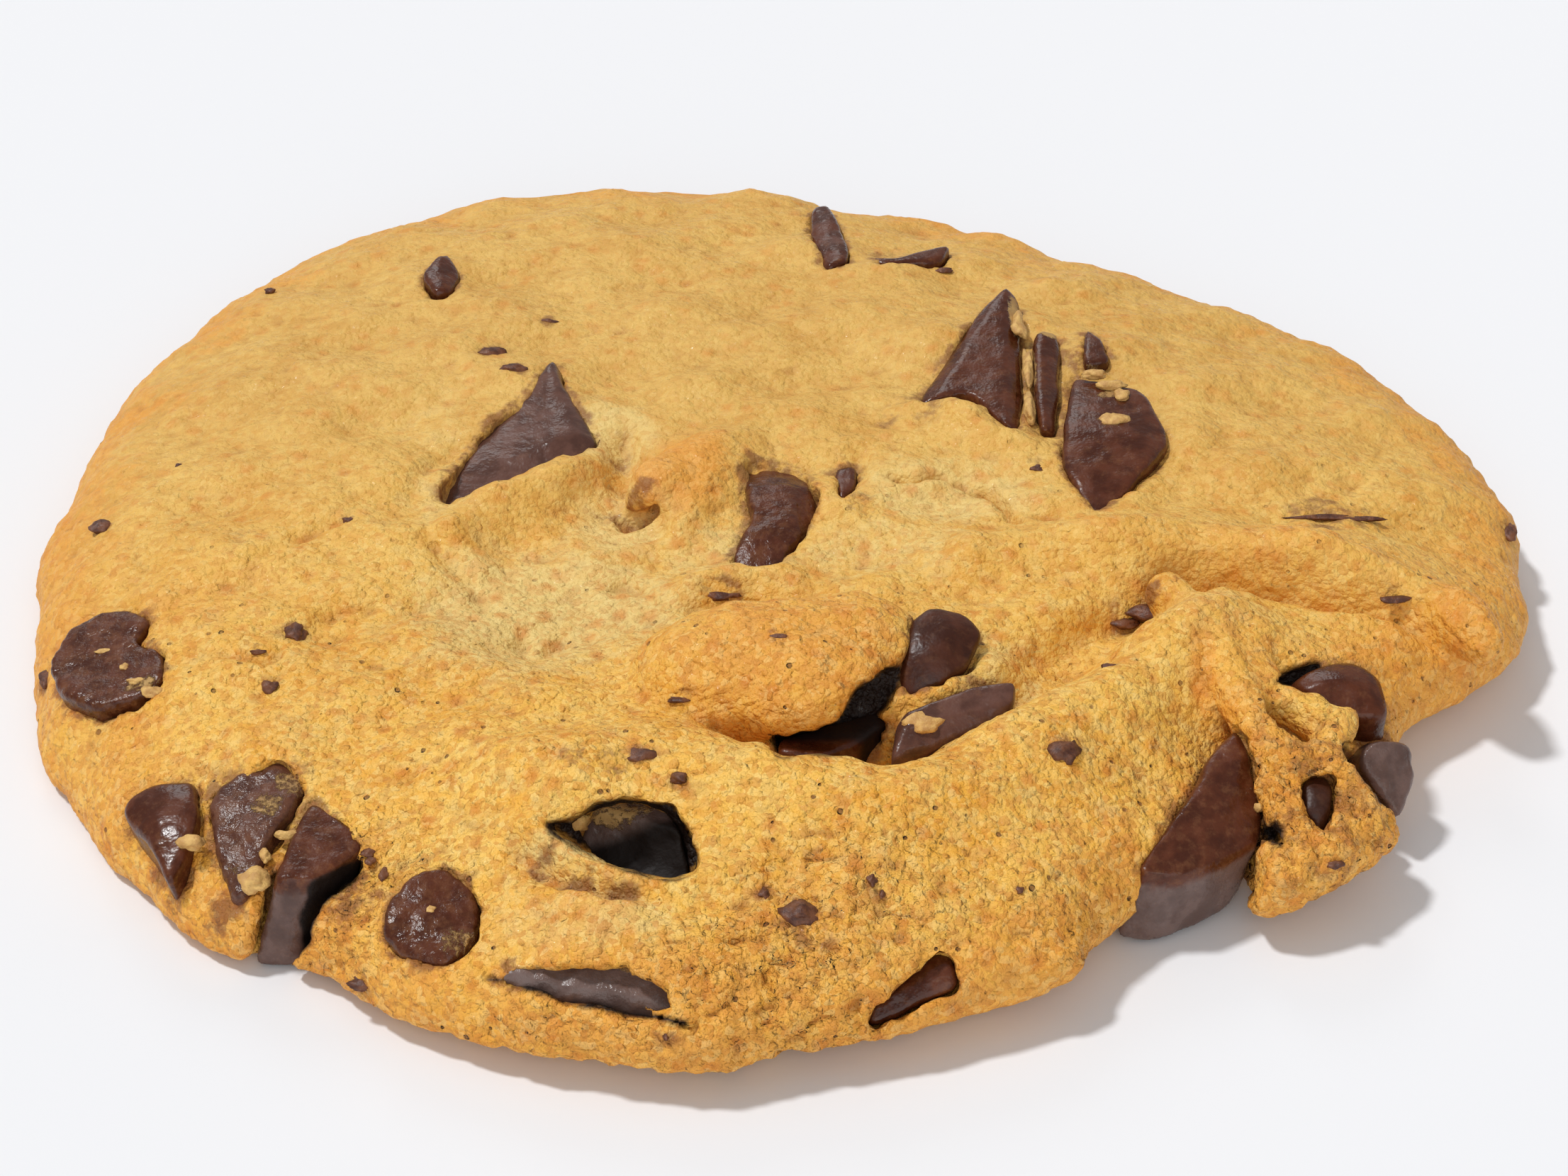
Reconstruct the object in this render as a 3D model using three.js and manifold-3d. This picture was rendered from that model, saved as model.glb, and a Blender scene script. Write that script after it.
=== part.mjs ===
// A thick, soft chocolate chip cookie, about 100 mm across.
// The dough is one solid that lies on its flat underside, and every piece of chocolate is a solid
// of its own that sits in a pocket of the dough.
// Millimetres. +Z is up, +X to the right and +Y to the back. The origin is under the middle, on the
// plane that the cookie lies on.

import * as THREE from 'three';
import { mergeVertices } from 'three/addons/utils/BufferGeometryUtils.js';
import Module from 'manifold-3d';

const wasm = await Module();
wasm.setup();

// ---------------------------------------------------------------- driving dimensions

// Outline seen from above: a mean radius, slow waves around it, and a few dents and bulges.
const MEAN_RADIUS = 49.5;
const OUTLINE_WAVES = [
  { lobes: 1, swell: 2.3, peak: 163 },
  { lobes: 2, swell: 1.2, peak: -19 },
  { lobes: 3, swell: 2.1, peak: 0 },
  { lobes: 4, swell: 0.5, peak: 25 },
  { lobes: 17, swell: 0.25, peak: 9 },
  { lobes: 29, swell: 0.2, peak: 4 },
];
const OUTLINE_DENTS = [
  { at: -57, width: 8.8, swell: -4.2 },
  { at: -24, width: 8.4, swell: -4.3 },
  { at: -123, width: 6.1, swell: -1.9 },
  { at: -142.5, width: 3, swell: -0.7 },
  { at: -98, width: 17, swell: 2.1 },
  { at: 125, width: 28, swell: 0.7 },
];

// Heights: the widest line of the edge nearly lies down at the front left and lifts off at the
// front right.
const CENTRE_HEIGHT = 9.5;
const FRONT_RISE = 0.022;
const EDGE_HEIGHT = 2.2;
const EDGE_LIFT = 1.0;
const EDGE_LIFT_AT = -45;
const EDGE_DIP = 1.3;
const EDGE_DIP_AT = -142;
const EDGE_DIP_WIDTH = 30;
const DOME_POWER = 5.5;
const EDGE_POWER = 2.1;
const FLAT_SHARE = 0.86;

// Long folds and furrows in the top, each along a smooth line.
const RIDGES = [
  { rise: 2.0, width: 4.6,
    line: [[-15, -31], [-6, -31], [0, -33], [6.5, -34], [13, -31], [18, -27], [24, -20], [27, -16]] },
  { rise: -4.0, width: 2.5, line: [[-2.5, -25.2], [1, -27], [6, -27.3]] },
  { rise: -2.4, width: 2.4, line: [[6, -27.3], [12, -24.5], [16, -21], [20.5, -16.5], [25, -12]] },
  { rise: 2.0, width: 2.8,
    line: [[13, -8], [20.5, -7.4], [26, -7.2], [31, -7.4], [36, -8.3], [41, -10], [44, -13.5]] },
  { rise: -2.2, width: 1.3,
    line: [[25.7, -10.6], [29, -10.6], [32, -11], [36, -11.7], [40, -12.6], [43.2, -14.2], [44.7, -16]] },
  { rise: 1.0, width: 1.3, line: [[-15.5, -37], [-11, -39.5], [-6, -40.8], [-2, -40]] },
  { rise: 0.9, width: 1.7, line: [[-22, -4.5], [-16, 0.6], [-12, 3.5]] },
  { rise: -0.9, width: 1.0, line: [[12, 1.2], [15, -1.4], [18, -3.2]] },
];

// Broad swellings and hollows in the top. A sharp one has a steeper side.
const MOUNDS = [
  { at: [-14, -11], reach: [12, 9], rise: -1.7 },
  { at: [-11, 0.5], reach: [3.4, 3], rise: -2.0 },
  { at: [38, -15.5], reach: [9, 3.6], rise: 1.0 },
  { at: [33, -28], reach: [9.5, 7.8], rise: -4.6, sharp: true },
  { at: [17, 20], reach: [8, 5], rise: 0.8 },
  { at: [8, 4], reach: [6, 6], rise: 0.7 },
  { at: [-30, -5], reach: [9, 6], rise: 0.6 },
  { at: [-24, 18], reach: [8, 5], rise: 0.7 },
  { at: [-30.5, -33.5], reach: [7, 5], rise: -1.8 },
  { at: [-21, -41], reach: [5, 4], rise: -1.3 },
  { at: [6, 24], reach: [9, 5], rise: 0.6 },
];

// Gentle unevenness all over: long waves that cross, each with its height, pitch and direction.
const WAVES = [
  { rise: 0.22, pitch: 14.3, toward: 23, start: 0.4 },
  { rise: 0.2, pitch: 11.1, toward: 81, start: 2.1 },
  { rise: 0.17, pitch: 8.7, toward: 137, start: 4.4 },
  { rise: 0.14, pitch: 6.9, toward: 52, start: 1.2 },
  { rise: 0.12, pitch: 5.6, toward: 109, start: 3.3 },
];

// Rounded lumps of dough that bulge over their surroundings: the middle, its half sizes and a turn.
const LUMPS = [
  { at: [-1, -20.2, 9.2], half: [8.6, 5.4, 4.2], turn: 4 },
  { at: [4.4, -18.6, 9.6], half: [4.6, 4.2, 3.6], turn: 20 },
  { at: [1.6, -22.4, 9.7], half: [5.4, 4.6, 3.4], turn: 6 },
  { at: [-6, 2.6, 8.8], half: [2.9, 6.6, 2.3], turn: -35 },
  { at: [-8.3, 0.2, 9.6], half: [2.0, 2.2, 1.8], turn: 0 },
  { at: [31.6, -28.8, 5.2], half: [3.4, 4.4, 2.6], turn: 0 },
  { at: [32.4, -32, 4.2], half: [4, 3, 2.2], turn: 8 },
  { at: [30.2, -33.9, 3.6], half: [2.8, 2.2, 1.9], turn: 12 },
  { at: [15, -41.6, 3.8], half: [3.4, 2.4, 1.9], turn: 4 },
  { at: [44.4, -13, 7.6], half: [1.9, 3.4, 1.9], turn: 24 },
];

// Torn strands of dough, round in section, along smooth lines from one lump to the next.
const STRANDS = [
  { radius: 1.7, line: [[25, -12.4, 9.6], [27.3, -17.8, 9.4], [28.9, -22.5, 9], [30, -26.2, 8.4],
    [31.6, -27.6, 7.6], [34.1, -28, 7]] },
  { radius: 1.4, line: [[28.5, -13.3, 9.1], [29.7, -18.4, 8.9], [31.2, -21.8, 8.5], [33, -23.2, 8],
    [34.6, -24.2, 7.4]] },
  { radius: 0.9, line: [[34, -22.2, 8.2], [34.5, -24.5, 7.9], [33.3, -26.8, 7.7], [31.3, -27.3, 7.7]] },
  { radius: 1.4, line: [[29.4, -26.8, 7.9], [28.7, -28.8, 7.6], [29.9, -29.9, 7], [31.5, -31.5, 6.4]] },
  { radius: 1.2, line: [[31.3, -27.2, 7.7], [34, -27.6, 7.4], [35.5, -28.6, 6.7], [36.3, -29.9, 5.9]] },
  { radius: 1.6, line: [[31.4, -32.6, 5.4], [34, -31.5, 5.3], [36.3, -30, 5.2]] },
  { radius: 1.5, line: [[30.8, -34.4, 4.4], [33.3, -33.3, 4.8], [35.6, -31.3, 4.5], [37.2, -31, 4.3]] },
];
const STRAND_SIDES = 7;
const STRAND_STEPS = 7;

// Crumbs of chocolate too small to be pieces of their own, fused to the top.
const FLECK_HALF = [0.9, 1.1, 0.6];
const FLECKS = [
  [-9, -28.5], [-6.2, -30.5], [17.7, -28.5], [1, -43.5], [-24, -45.5], [-31, -15.5],
  [-32.5, -21.5], [-45, -3.5], [-20.5, 18], [17, 3.5], [22.8, -13.4],
];

// Chocolate. Each piece is a flat outline in its own plane, with the middle of its top at "at",
// then tipped about X and about Y in degrees. Its pocket is open to the sky, or only as far as "open"
// where dough hangs over it, and it carries on outward by "reach" where the piece shows at the side.
const CHUNKS = [
  { name: 'chunk_back_long', at: [14, 15.5, 9.9], tip: [3, 0], thick: 4,
    outline: [[2, 9.5], [3, 8.5], [2.5, -7.5], [1, -7.5], [-1, -3.5], [-5, -5], [-2.5, 1], [0, 7]] },
  { name: 'chunk_back_slab', at: [18.5, 13.5, 9.9], tip: [3, 0], thick: 4, bevel: 0.35,
    outline: [[-1, 5.5], [1.2, 6], [0.3, -6], [-1, -6]] },
  { name: 'chunk_back_chip', at: [22, 17.5, 9.7], tip: [0, 0], thick: 3, bevel: 0.35,
    outline: [[-0.6, 3], [0.6, 1.5], [1, -1.5], [-1, -2]] },
  { name: 'chunk_back_wedge', at: [22.5, 6, 10.2], tip: [4, 0], thick: 4,
    outline: [[-2.4, 7.5], [-1, 7], [2.5, 5.5], [4, 0], [2.5, -3], [-0.5, -7.5], [-2, -8], [-3.8, -2.5]] },
  { name: 'chunk_left_shard', at: [-18, 7, 9.3], tip: [5, 0], thick: 4,
    outline: [[2, 9.5], [3, 5.5], [5.5, 0], [4.5, -1.5], [-2.5, -5.5], [-4.5, -7.5], [-5.5, -6.5],
      [-3, 0.5], [0, 4.5]] },
  { name: 'chunk_centre', at: [-1, -2.5, 9.5], tip: [5, 0], thick: 4,
    outline: [[-2, 6.5], [2.5, 5.5], [3.5, 0.5], [1.5, -3.5], [0.5, -6], [-3, -5.5], [-1, -0.5],
      [-1.5, 3]] },
  { name: 'chunk_centre_bit', at: [4.2, 1.5, 9.2], tip: [0, 0], thick: 2.5, bevel: 0.35,
    outline: [[-0.9, 1.5], [0.8, 2], [0.8, -0.5], [-0.4, -2.5]] },
  { name: 'chunk_far_bar', at: [3.5, 36.4, 8.2], tip: [-6, 0], thick: 3, bevel: 0.35,
    outline: [[-1.5, 4.5], [0, 4.8], [1, 0], [1.5, -5], [-0.5, -6], [-1.5, 0]] },
  { name: 'chunk_far_bit', at: [9, 32, 8.5], tip: [-4, 0], thick: 3, bevel: 0.35,
    outline: [[-2.6, 0.2], [-0.5, 0.2], [3.5, 2.5], [2.5, -0.5], [-2, -1]] },
  { name: 'chunk_far_chip', at: [-25, 29.6, 8.8], tip: [0, 0], thick: 3, bevel: 0.35,
    outline: [[-1.2, -0.5], [-0.5, 2], [0.5, 3], [1.5, 0.5], [1, -2.5], [-0.2, -3]] },
  { name: 'chip_left_round', at: [-43, -15.5, 7.1], tip: [5, -14], thick: 3,
    outline: [[-4.5, 0], [-4, 3], [-2, 4.6], [0.2, 4.6], [2.2, 3], [1.2, 0.8], [3.4, -0.6], [3.6, -3.2],
      [2.2, -4.8], [-0.6, -5], [-3.2, -3.2]] },
  { name: 'chunk_front_left_outer', at: [-38, -31.5, 6.3], tip: [12, -10], thick: 3.5,
    outline: [[-3.1, 1.5], [-2.5, 2.8], [-0.8, 3.3], [1.5, 3.2], [2, 0.6], [1.9, -1.3], [1.2, -3.1],
      [0.2, -4.5], [-1.2, -1.4]] },
  { name: 'chunk_front_left_inner', at: [-32.5, -32.5, 6.7], tip: [12, -8], thick: 3.5,
    outline: [[-3, 2.4], [-0.9, 4.3], [1.7, 5.1], [3.1, 2.8], [2.2, 0.4], [1.2, -1.2], [0.6, -3],
      [-0.1, -4.7], [-1, -5.3], [-2.2, -2.4]] },
  { name: 'chunk_front_left_block', at: [-29, -35, 6.7], tip: [8, 0], thick: 6, reach: 5,
    outline: [[-0.9, 1.6], [0, 4], [2.3, 2.2], [3.8, 0.2], [2.1, -1.6], [0.7, -2.8], [-1.7, -2.8],
      [-1.3, -0.7]] },
  { name: 'chip_front_round', at: [-21, -40.8, 6.7], tip: [20, 0], thick: 3,
    outline: [[-1, 2.6], [0.6, 3], [2.2, 1.8], [3, 0], [2.6, -2.6], [1, -4], [-1.2, -3.2],
      [-2.8, -1.8], [-2.6, 0.6]] },
  { name: 'chunk_front_strip', at: [-11.5, -46, 5.6], tip: [22, 0], thick: 2.6, bevel: 0.35,
    outline: [[-6, 0], [-4.5, 1], [-2.5, 1.5], [2, 1.5], [4.5, 0], [6.5, -2.5], [0.5, -1.5]] },
  { name: 'chunk_in_slot', at: [-8.5, -36, 8], tip: [4, 0], thick: 3.5,
    outline: [[-4.1, 2.1], [-2.9, 3.6], [-1.5, 4.1], [1.2, 3.2], [2.4, 1.1], [3.4, -2.4], [1.5, -2.9],
      [-2.3, -1.7]] },
  { name: 'chunk_front_edge', at: [8, -45.2, 4.4], tip: [42, 0], thick: 2.6, bevel: 0.35,
    outline: [[-3, -2.5], [-3, -1], [-1, 0.5], [1, 2.2], [2, 2], [2.5, 0], [0.5, -1]] },
  { name: 'chunk_under_lump', at: [10.6, -20, 11.2], tip: [25, 14], thick: 5, bevel: 1,
    outline: [[-2.6, 1.3], [-1.2, 3.1], [0.9, 3], [2.2, 1.6], [1.5, -0.9], [-0.6, -3], [-2.4, -3.8],
      [-3, -2]] },
  { name: 'chunk_in_trough', at: [3.2, -25.4, 8.0], tip: [0, 0], open: 0.6, thick: 2.4, bevel: 0.35,
    outline: [[3.6, 1.6], [1.5, -1], [-0.5, -2.2], [-3.4, -2], [-3.5, -0.5], [-0.5, 1], [2.4, 2.6]] },
  { name: 'chunk_on_roll', at: [10.6, -25.6, 9.6], tip: [14, 0], thick: 2.6,
    outline: [[-4, -3], [-3.4, 0.3], [-1.2, 1.4], [1.5, 2.6], [4.2, 3.1], [3.7, 0.7], [1.7, -0.6],
      [-1.8, -2]] },
  { name: 'chunk_front_right', at: [26.2, -30.5, 6.9], tip: [20, 8], thick: 4.8, reach: 4,
    outline: [[1.8, 5.9], [2.6, 4.2], [3.1, 1.7], [3.7, -0.8], [3.1, -2.4], [1, -4.2], [-2, -5.9],
      [-4.6, -5.8], [-2, -1.3], [0.3, 3.6]] },
  { name: 'chunk_lobe_chip', at: [32.9, -30.2, 6.9], tip: [24, 0], thick: 2.4, bevel: 0.35,
    outline: [[-0.9, 0.7], [-0.3, 1.7], [0.9, 2], [1.3, 0.9], [0.8, -1.1], [0.2, -2.2], [-0.9, -1]] },
  { name: 'chunk_right_upper', at: [35.2, -20.6, 8.4], tip: [10, 0], thick: 3.6,
    outline: [[-3.2, 0.8], [-0.6, 2.5], [1.5, 2.9], [3, 1.3], [3.2, -1.5], [2, -2.2], [-0.5, -1.6],
      [-1.8, -0.4]] },
  { name: 'chunk_right_lower', at: [38.2, -25.4, 5.5], tip: [42, 14], thick: 2.8, reach: 4,
    outline: [[-2.3, 0.4], [-1.4, 1.7], [1.4, 2.1], [1.9, -0.6], [1.1, -3], [-0.4, -1.8]] },
];

// Making: how fine the dough's skin is, and the clearance round each piece of chocolate.
const SKIN_DETAIL = 15;
const LUMP_DETAIL = 3;
const CLEARANCE = 0.3;
const BEVEL = 0.6;
const OPEN_ABOVE = 25;

// ---------------------------------------------------------------- materials

const DOUGH = new THREE.MeshStandardMaterial({ color: 0xd7a455, roughness: 0.8, metalness: 0 });
const CHOCOLATE = new THREE.MeshStandardMaterial({ color: 0x3d2019, roughness: 0.35, metalness: 0 });

// ---------------------------------------------------------------- outline and heights

const bell = (distance, width) => Math.exp(-((distance / width) ** 2));

function turnBetween(a, b) {
  return THREE.MathUtils.euclideanModulo(a - b + 180, 360) - 180;
}

function outlineRadius(degrees) {
  let radius = MEAN_RADIUS;
  for (const wave of OUTLINE_WAVES) {
    radius += wave.swell * Math.cos(THREE.MathUtils.degToRad(wave.lobes * (degrees - wave.peak)));
  }
  for (const dent of OUTLINE_DENTS) {
    radius += dent.swell * bell(turnBetween(degrees, dent.at), dent.width);
  }
  return radius;
}

function edgeHeight(degrees) {
  const lift = EDGE_LIFT * Math.cos(THREE.MathUtils.degToRad(degrees - EDGE_LIFT_AT));
  return EDGE_HEIGHT + lift - EDGE_DIP * bell(turnBetween(degrees, EDGE_DIP_AT), EDGE_DIP_WIDTH);
}

// Each ridge's line as short chords of a smooth curve.
const ridgePaths = RIDGES.map(({ line }) => {
  const knots = line.map(([x, y]) => new THREE.Vector3(x, y, 0));
  return new THREE.CatmullRomCurve3(knots).getPoints(6 * line.length);
});

function distanceToPath(path, point) {
  const nearest = new THREE.Vector3();
  let least = Infinity;
  for (let i = 1; i < path.length; i += 1) {
    new THREE.Line3(path[i - 1], path[i]).closestPointToPoint(point, true, nearest);
    least = Math.min(least, nearest.distanceTo(point));
  }
  return least;
}

// Height of the top before it rounds off at the edge.
function broadHeight(x, y) {
  const point = new THREE.Vector3(x, y, 0);
  let height = CENTRE_HEIGHT - FRONT_RISE * y;
  RIDGES.forEach((ridge, i) => {
    height += ridge.rise * bell(distanceToPath(ridgePaths[i], point), ridge.width);
  });
  for (const mound of MOUNDS) {
    const away = Math.hypot((x - mound.at[0]) / mound.reach[0], (y - mound.at[1]) / mound.reach[1]);
    height += mound.rise * bell(mound.sharp ? away ** 2 : away, 1);
  }
  for (const wave of WAVES) {
    const direction = THREE.MathUtils.degToRad(wave.toward);
    const along = x * Math.cos(direction) + y * Math.sin(direction);
    height += wave.rise * Math.sin((2 * Math.PI * along) / wave.pitch + wave.start);
  }
  return height;
}

// Height of the finished top at any place inside the outline.
function topHeight(x, y) {
  const degrees = THREE.MathUtils.radToDeg(Math.atan2(y, x));
  const share = Math.min(Math.hypot(x, y) / outlineRadius(degrees), 1);
  const edge = edgeHeight(degrees);
  return edge + (broadHeight(x, y) - edge) * (1 - share ** DOME_POWER) ** (1 / EDGE_POWER);
}

// ---------------------------------------------------------------- solids

function toSolid(geometry) {
  const bare = geometry.clone();
  bare.deleteAttribute('normal');
  bare.deleteAttribute('uv');
  const merged = mergeVertices(bare, 1e-4);
  const mesh = new wasm.Mesh({
    numProp: 3,
    vertProperties: new Float32Array(merged.attributes.position.array),
    triVerts: new Uint32Array(merged.index.array),
  });
  return new wasm.Manifold(mesh);
}

function toGeometry(solid) {
  const mesh = solid.getMesh();
  const geometry = new THREE.BufferGeometry();
  geometry.setAttribute('position', new THREE.BufferAttribute(mesh.vertProperties, 3));
  geometry.setIndex(new THREE.BufferAttribute(mesh.triVerts, 1));
  geometry.computeVertexNormals();
  return geometry;
}

// Cuts can free a crumb at the edge: only the body itself is kept.
function largestPart(solid) {
  return solid.decompose().reduce((best, part) => (part.volume() > best.volume() ? part : best));
}

// ---------------------------------------------------------------- dough

// The section from the middle of the top (0) over the edge (1) and the underside's curve (2) to the
// middle of the underside (3): the share of the radius, of the rise over the edge, and of the edge.
function section(u) {
  if (u < 1) {
    const angle = (u * Math.PI) / 2;
    return [Math.sin(angle) ** (2 / DOME_POWER), Math.cos(angle) ** (2 / EDGE_POWER), 1];
  }
  if (u < 2) {
    const angle = ((u - 1) * Math.PI) / 2;
    return [FLAT_SHARE + (1 - FLAT_SHARE) * Math.cos(angle) ** 2, 0, 1 - Math.sin(angle)];
  }
  return [FLAT_SHARE * (3 - u), 0, 0];
}

// Running area of the section turned about Z, with the hidden underside counted for little, so that
// equal shares of the sphere become about equal patches of skin.
const SECTION_STEPS = 1200;
const UNDERSIDE_WEIGHT = 0.12;

function sectionAreas() {
  const areas = [0];
  const measure = (u) => {
    const [share, rise, foot] = section(u);
    return [share * MEAN_RADIUS, EDGE_HEIGHT * foot + (CENTRE_HEIGHT - EDGE_HEIGHT) * rise];
  };
  for (let i = 1; i <= SECTION_STEPS; i += 1) {
    const [r0, z0] = measure((3 * (i - 1)) / SECTION_STEPS);
    const [r1, z1] = measure((3 * i) / SECTION_STEPS);
    const weight = (3 * i) / SECTION_STEPS > 2 ? UNDERSIDE_WEIGHT : 1;
    areas.push(areas[i - 1] + weight * (r0 + r1) * Math.hypot(r1 - r0, z1 - z0));
  }
  return areas;
}

function sectionPlace(areas, share) {
  const wanted = share * areas[SECTION_STEPS];
  const next = areas.findIndex((area) => area >= wanted);
  if (next <= 0) {
    return 0;
  }
  const part = (wanted - areas[next - 1]) / (areas[next] - areas[next - 1]);
  return (3 * (next - 1 + part)) / SECTION_STEPS;
}

function doughSkin() {
  const geometry = new THREE.IcosahedronGeometry(1, SKIN_DETAIL);
  const position = geometry.attributes.position;
  const areas = sectionAreas();
  const point = new THREE.Vector3();
  for (let i = 0; i < position.count; i += 1) {
    point.fromBufferAttribute(position, i).normalize();
    const angle = Math.atan2(point.y, point.x);
    const degrees = THREE.MathUtils.radToDeg(angle);
    const [share, rise, foot] = section(sectionPlace(areas, (1 - point.z) / 2));
    const radius = share * outlineRadius(degrees);
    const x = radius * Math.cos(angle);
    const y = radius * Math.sin(angle);
    const edge = edgeHeight(degrees);
    const z = rise > 0 ? edge + (broadHeight(x, y) - edge) * rise : edge * foot;
    position.setXYZ(i, x, y, z);
  }
  return geometry;
}

function lumpGeometry({ at, half, turn }, detail) {
  const geometry = new THREE.IcosahedronGeometry(1, detail);
  geometry.scale(...half);
  geometry.rotateZ(THREE.MathUtils.degToRad(turn));
  geometry.translate(...at);
  return geometry;
}

function strandGeometry({ line, radius }) {
  const circle = new THREE.Shape().absarc(0, 0, radius, 0, 2 * Math.PI);
  const profile = new THREE.Shape(circle.getSpacedPoints(STRAND_SIDES).slice(0, STRAND_SIDES));
  const path = new THREE.CatmullRomCurve3(line.map((knot) => new THREE.Vector3(...knot)));
  const options = { steps: STRAND_STEPS, bevelEnabled: false, extrudePath: path };
  return new THREE.ExtrudeGeometry(profile, options);
}

function fleckGeometry([x, y], i) {
  return lumpGeometry({ at: [x, y, topHeight(x, y)], half: FLECK_HALF, turn: 40 * i }, 0);
}

// ---------------------------------------------------------------- chocolate

function flatShape(outline) {
  return new THREE.Shape(outline.map(([u, v]) => new THREE.Vector2(u, v)));
}

function chunkGeometry({ outline, thick, bevel = BEVEL }) {
  const geometry = new THREE.ExtrudeGeometry(flatShape(outline), {
    depth: thick - 2 * bevel,
    steps: 1,
    bevelSize: bevel,
    bevelOffset: -bevel,
    bevelThickness: bevel,
    bevelSegments: 2,
  });
  geometry.translate(0, 0, bevel - thick);
  return geometry;
}

function place(object, chunk) {
  object.position.set(...chunk.at);
  object.rotation.set(...chunk.tip.map(THREE.MathUtils.degToRad), 0, 'YXZ');
  object.updateMatrix();
  return object;
}

// The room that a chunk needs: its outline and clearance, open above, and carried on over the edge
// of the cookie where the chunk shows at the side.
function pockets(chunk) {
  const geometry = new THREE.ExtrudeGeometry(flatShape(chunk.outline), {
    depth: chunk.thick + (chunk.open ?? OPEN_ABOVE),
    steps: 1,
    bevelSize: CLEARANCE,
    bevelThickness: CLEARANCE,
    bevelSegments: 1,
  });
  geometry.translate(0, 0, -chunk.thick);
  geometry.applyMatrix4(place(new THREE.Object3D(), chunk).matrix);
  const outward = new THREE.Vector3(chunk.at[0], chunk.at[1], 0).normalize();
  const shifts = chunk.reach ? [0, chunk.reach / 2, chunk.reach] : [0];
  return shifts.map((shift) => {
    const moved = geometry.clone().translate(outward.x * shift, outward.y * shift, 0);
    return toSolid(moved);
  });
}

// ---------------------------------------------------------------- assembly

function doughGeometry() {
  let dough = toSolid(doughSkin());
  LUMPS.forEach((lump) => {
    dough = dough.add(toSolid(lumpGeometry(lump, LUMP_DETAIL)));
  });
  STRANDS.forEach((strand) => {
    dough = dough.add(toSolid(strandGeometry(strand)));
  });
  FLECKS.forEach((fleck, i) => {
    dough = dough.add(toSolid(fleckGeometry(fleck, i)));
  });
  CHUNKS.flatMap(pockets).forEach((pocket) => {
    dough = dough.subtract(pocket);
  });
  return toGeometry(largestPart(dough));
}

const cookie = new THREE.Group();
cookie.name = 'chocolate_chip_cookie';

const dough = new THREE.Mesh(doughGeometry(), DOUGH);
dough.name = 'dough';
cookie.add(dough);

for (const chunk of CHUNKS) {
  const mesh = place(new THREE.Mesh(chunkGeometry(chunk), CHOCOLATE), chunk);
  mesh.name = chunk.name;
  cookie.add(mesh);
}

export default cookie;
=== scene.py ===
import itertools
import math
from dataclasses import dataclass

import bmesh
import bpy
import numpy as np
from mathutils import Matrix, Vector


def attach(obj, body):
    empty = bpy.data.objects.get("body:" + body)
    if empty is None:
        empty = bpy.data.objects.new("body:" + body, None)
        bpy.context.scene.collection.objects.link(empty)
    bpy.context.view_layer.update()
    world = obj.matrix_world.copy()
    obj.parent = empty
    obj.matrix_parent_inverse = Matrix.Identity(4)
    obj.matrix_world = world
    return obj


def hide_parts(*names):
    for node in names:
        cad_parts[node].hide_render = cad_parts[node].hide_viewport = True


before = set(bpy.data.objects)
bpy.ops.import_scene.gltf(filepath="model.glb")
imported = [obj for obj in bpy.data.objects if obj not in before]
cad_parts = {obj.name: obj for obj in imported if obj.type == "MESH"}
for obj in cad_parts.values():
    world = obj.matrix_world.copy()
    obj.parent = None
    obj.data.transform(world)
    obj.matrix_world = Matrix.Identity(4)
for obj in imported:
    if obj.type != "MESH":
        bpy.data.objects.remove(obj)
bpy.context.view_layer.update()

MM = 0.001

# ---------------------------------------------------------------- the cookie's dimensions, in mm

MEAN_RADIUS = 49.5
OUTLINE_WAVES = [(1, 2.3, 163), (2, 1.2, -19), (3, 2.1, 0), (4, 0.5, 25), (17, 0.25, 9), (29, 0.2, 4)]
OUTLINE_DENTS = [
    (-57, 8.8, -4.2), (-24, 8.4, -4.3), (-123, 6.1, -1.9), (-142.5, 3, -0.7), (-98, 17, 2.1),
    (125, 28, 0.7),
]

CENTRE_HEIGHT = 9.5
FRONT_RISE = 0.022
EDGE_HEIGHT = 2.2
EDGE_LIFT = 1.0
EDGE_LIFT_AT = -45
EDGE_DIP = 1.3
EDGE_DIP_AT = -142
EDGE_DIP_WIDTH = 30
DOME_POWER = 5.5
EDGE_POWER = 2.1
FLAT_SHARE = 0.86

# Broad folds and furrows: rise, width, line.
FOLDS = [
    (2, 4.6, [(-15, -31), (-6, -31), (0, -33), (6.5, -34), (13, -31), (18, -27), (24, -20), (27, -16)]),
    (-4, 2.3, [(-2.5, -25.2), (1, -27), (6, -27.3)]),
    (-2.4, 2.4, [(6, -27.3), (12, -24.5), (16, -21), (20.5, -16.5), (25, -12)]),
    (2, 2.8, [(13, -8), (20.5, -7.4), (26, -7.2), (31, -7.4), (36, -8.3), (41, -10), (44, -13.5)]),
    (-2.5, 1.15,
     [(25.7, -10.3), (28.7, -9.9), (32.3, -10.2), (36.2, -11), (40.2, -12.1), (43.2, -14), (44.7, -16)]),
    (1, 1.3, [(-15.5, -37), (-11, -39.5), (-6, -40.8), (-2, -40)]),
    (0.9, 1.7, [(-22, -4.5), (-16, 0.6), (-12, 3.5)]),
    (-0.9, 1, [(12, 1.2), (15, -1.4), (18, -3.2)]),
]

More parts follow.
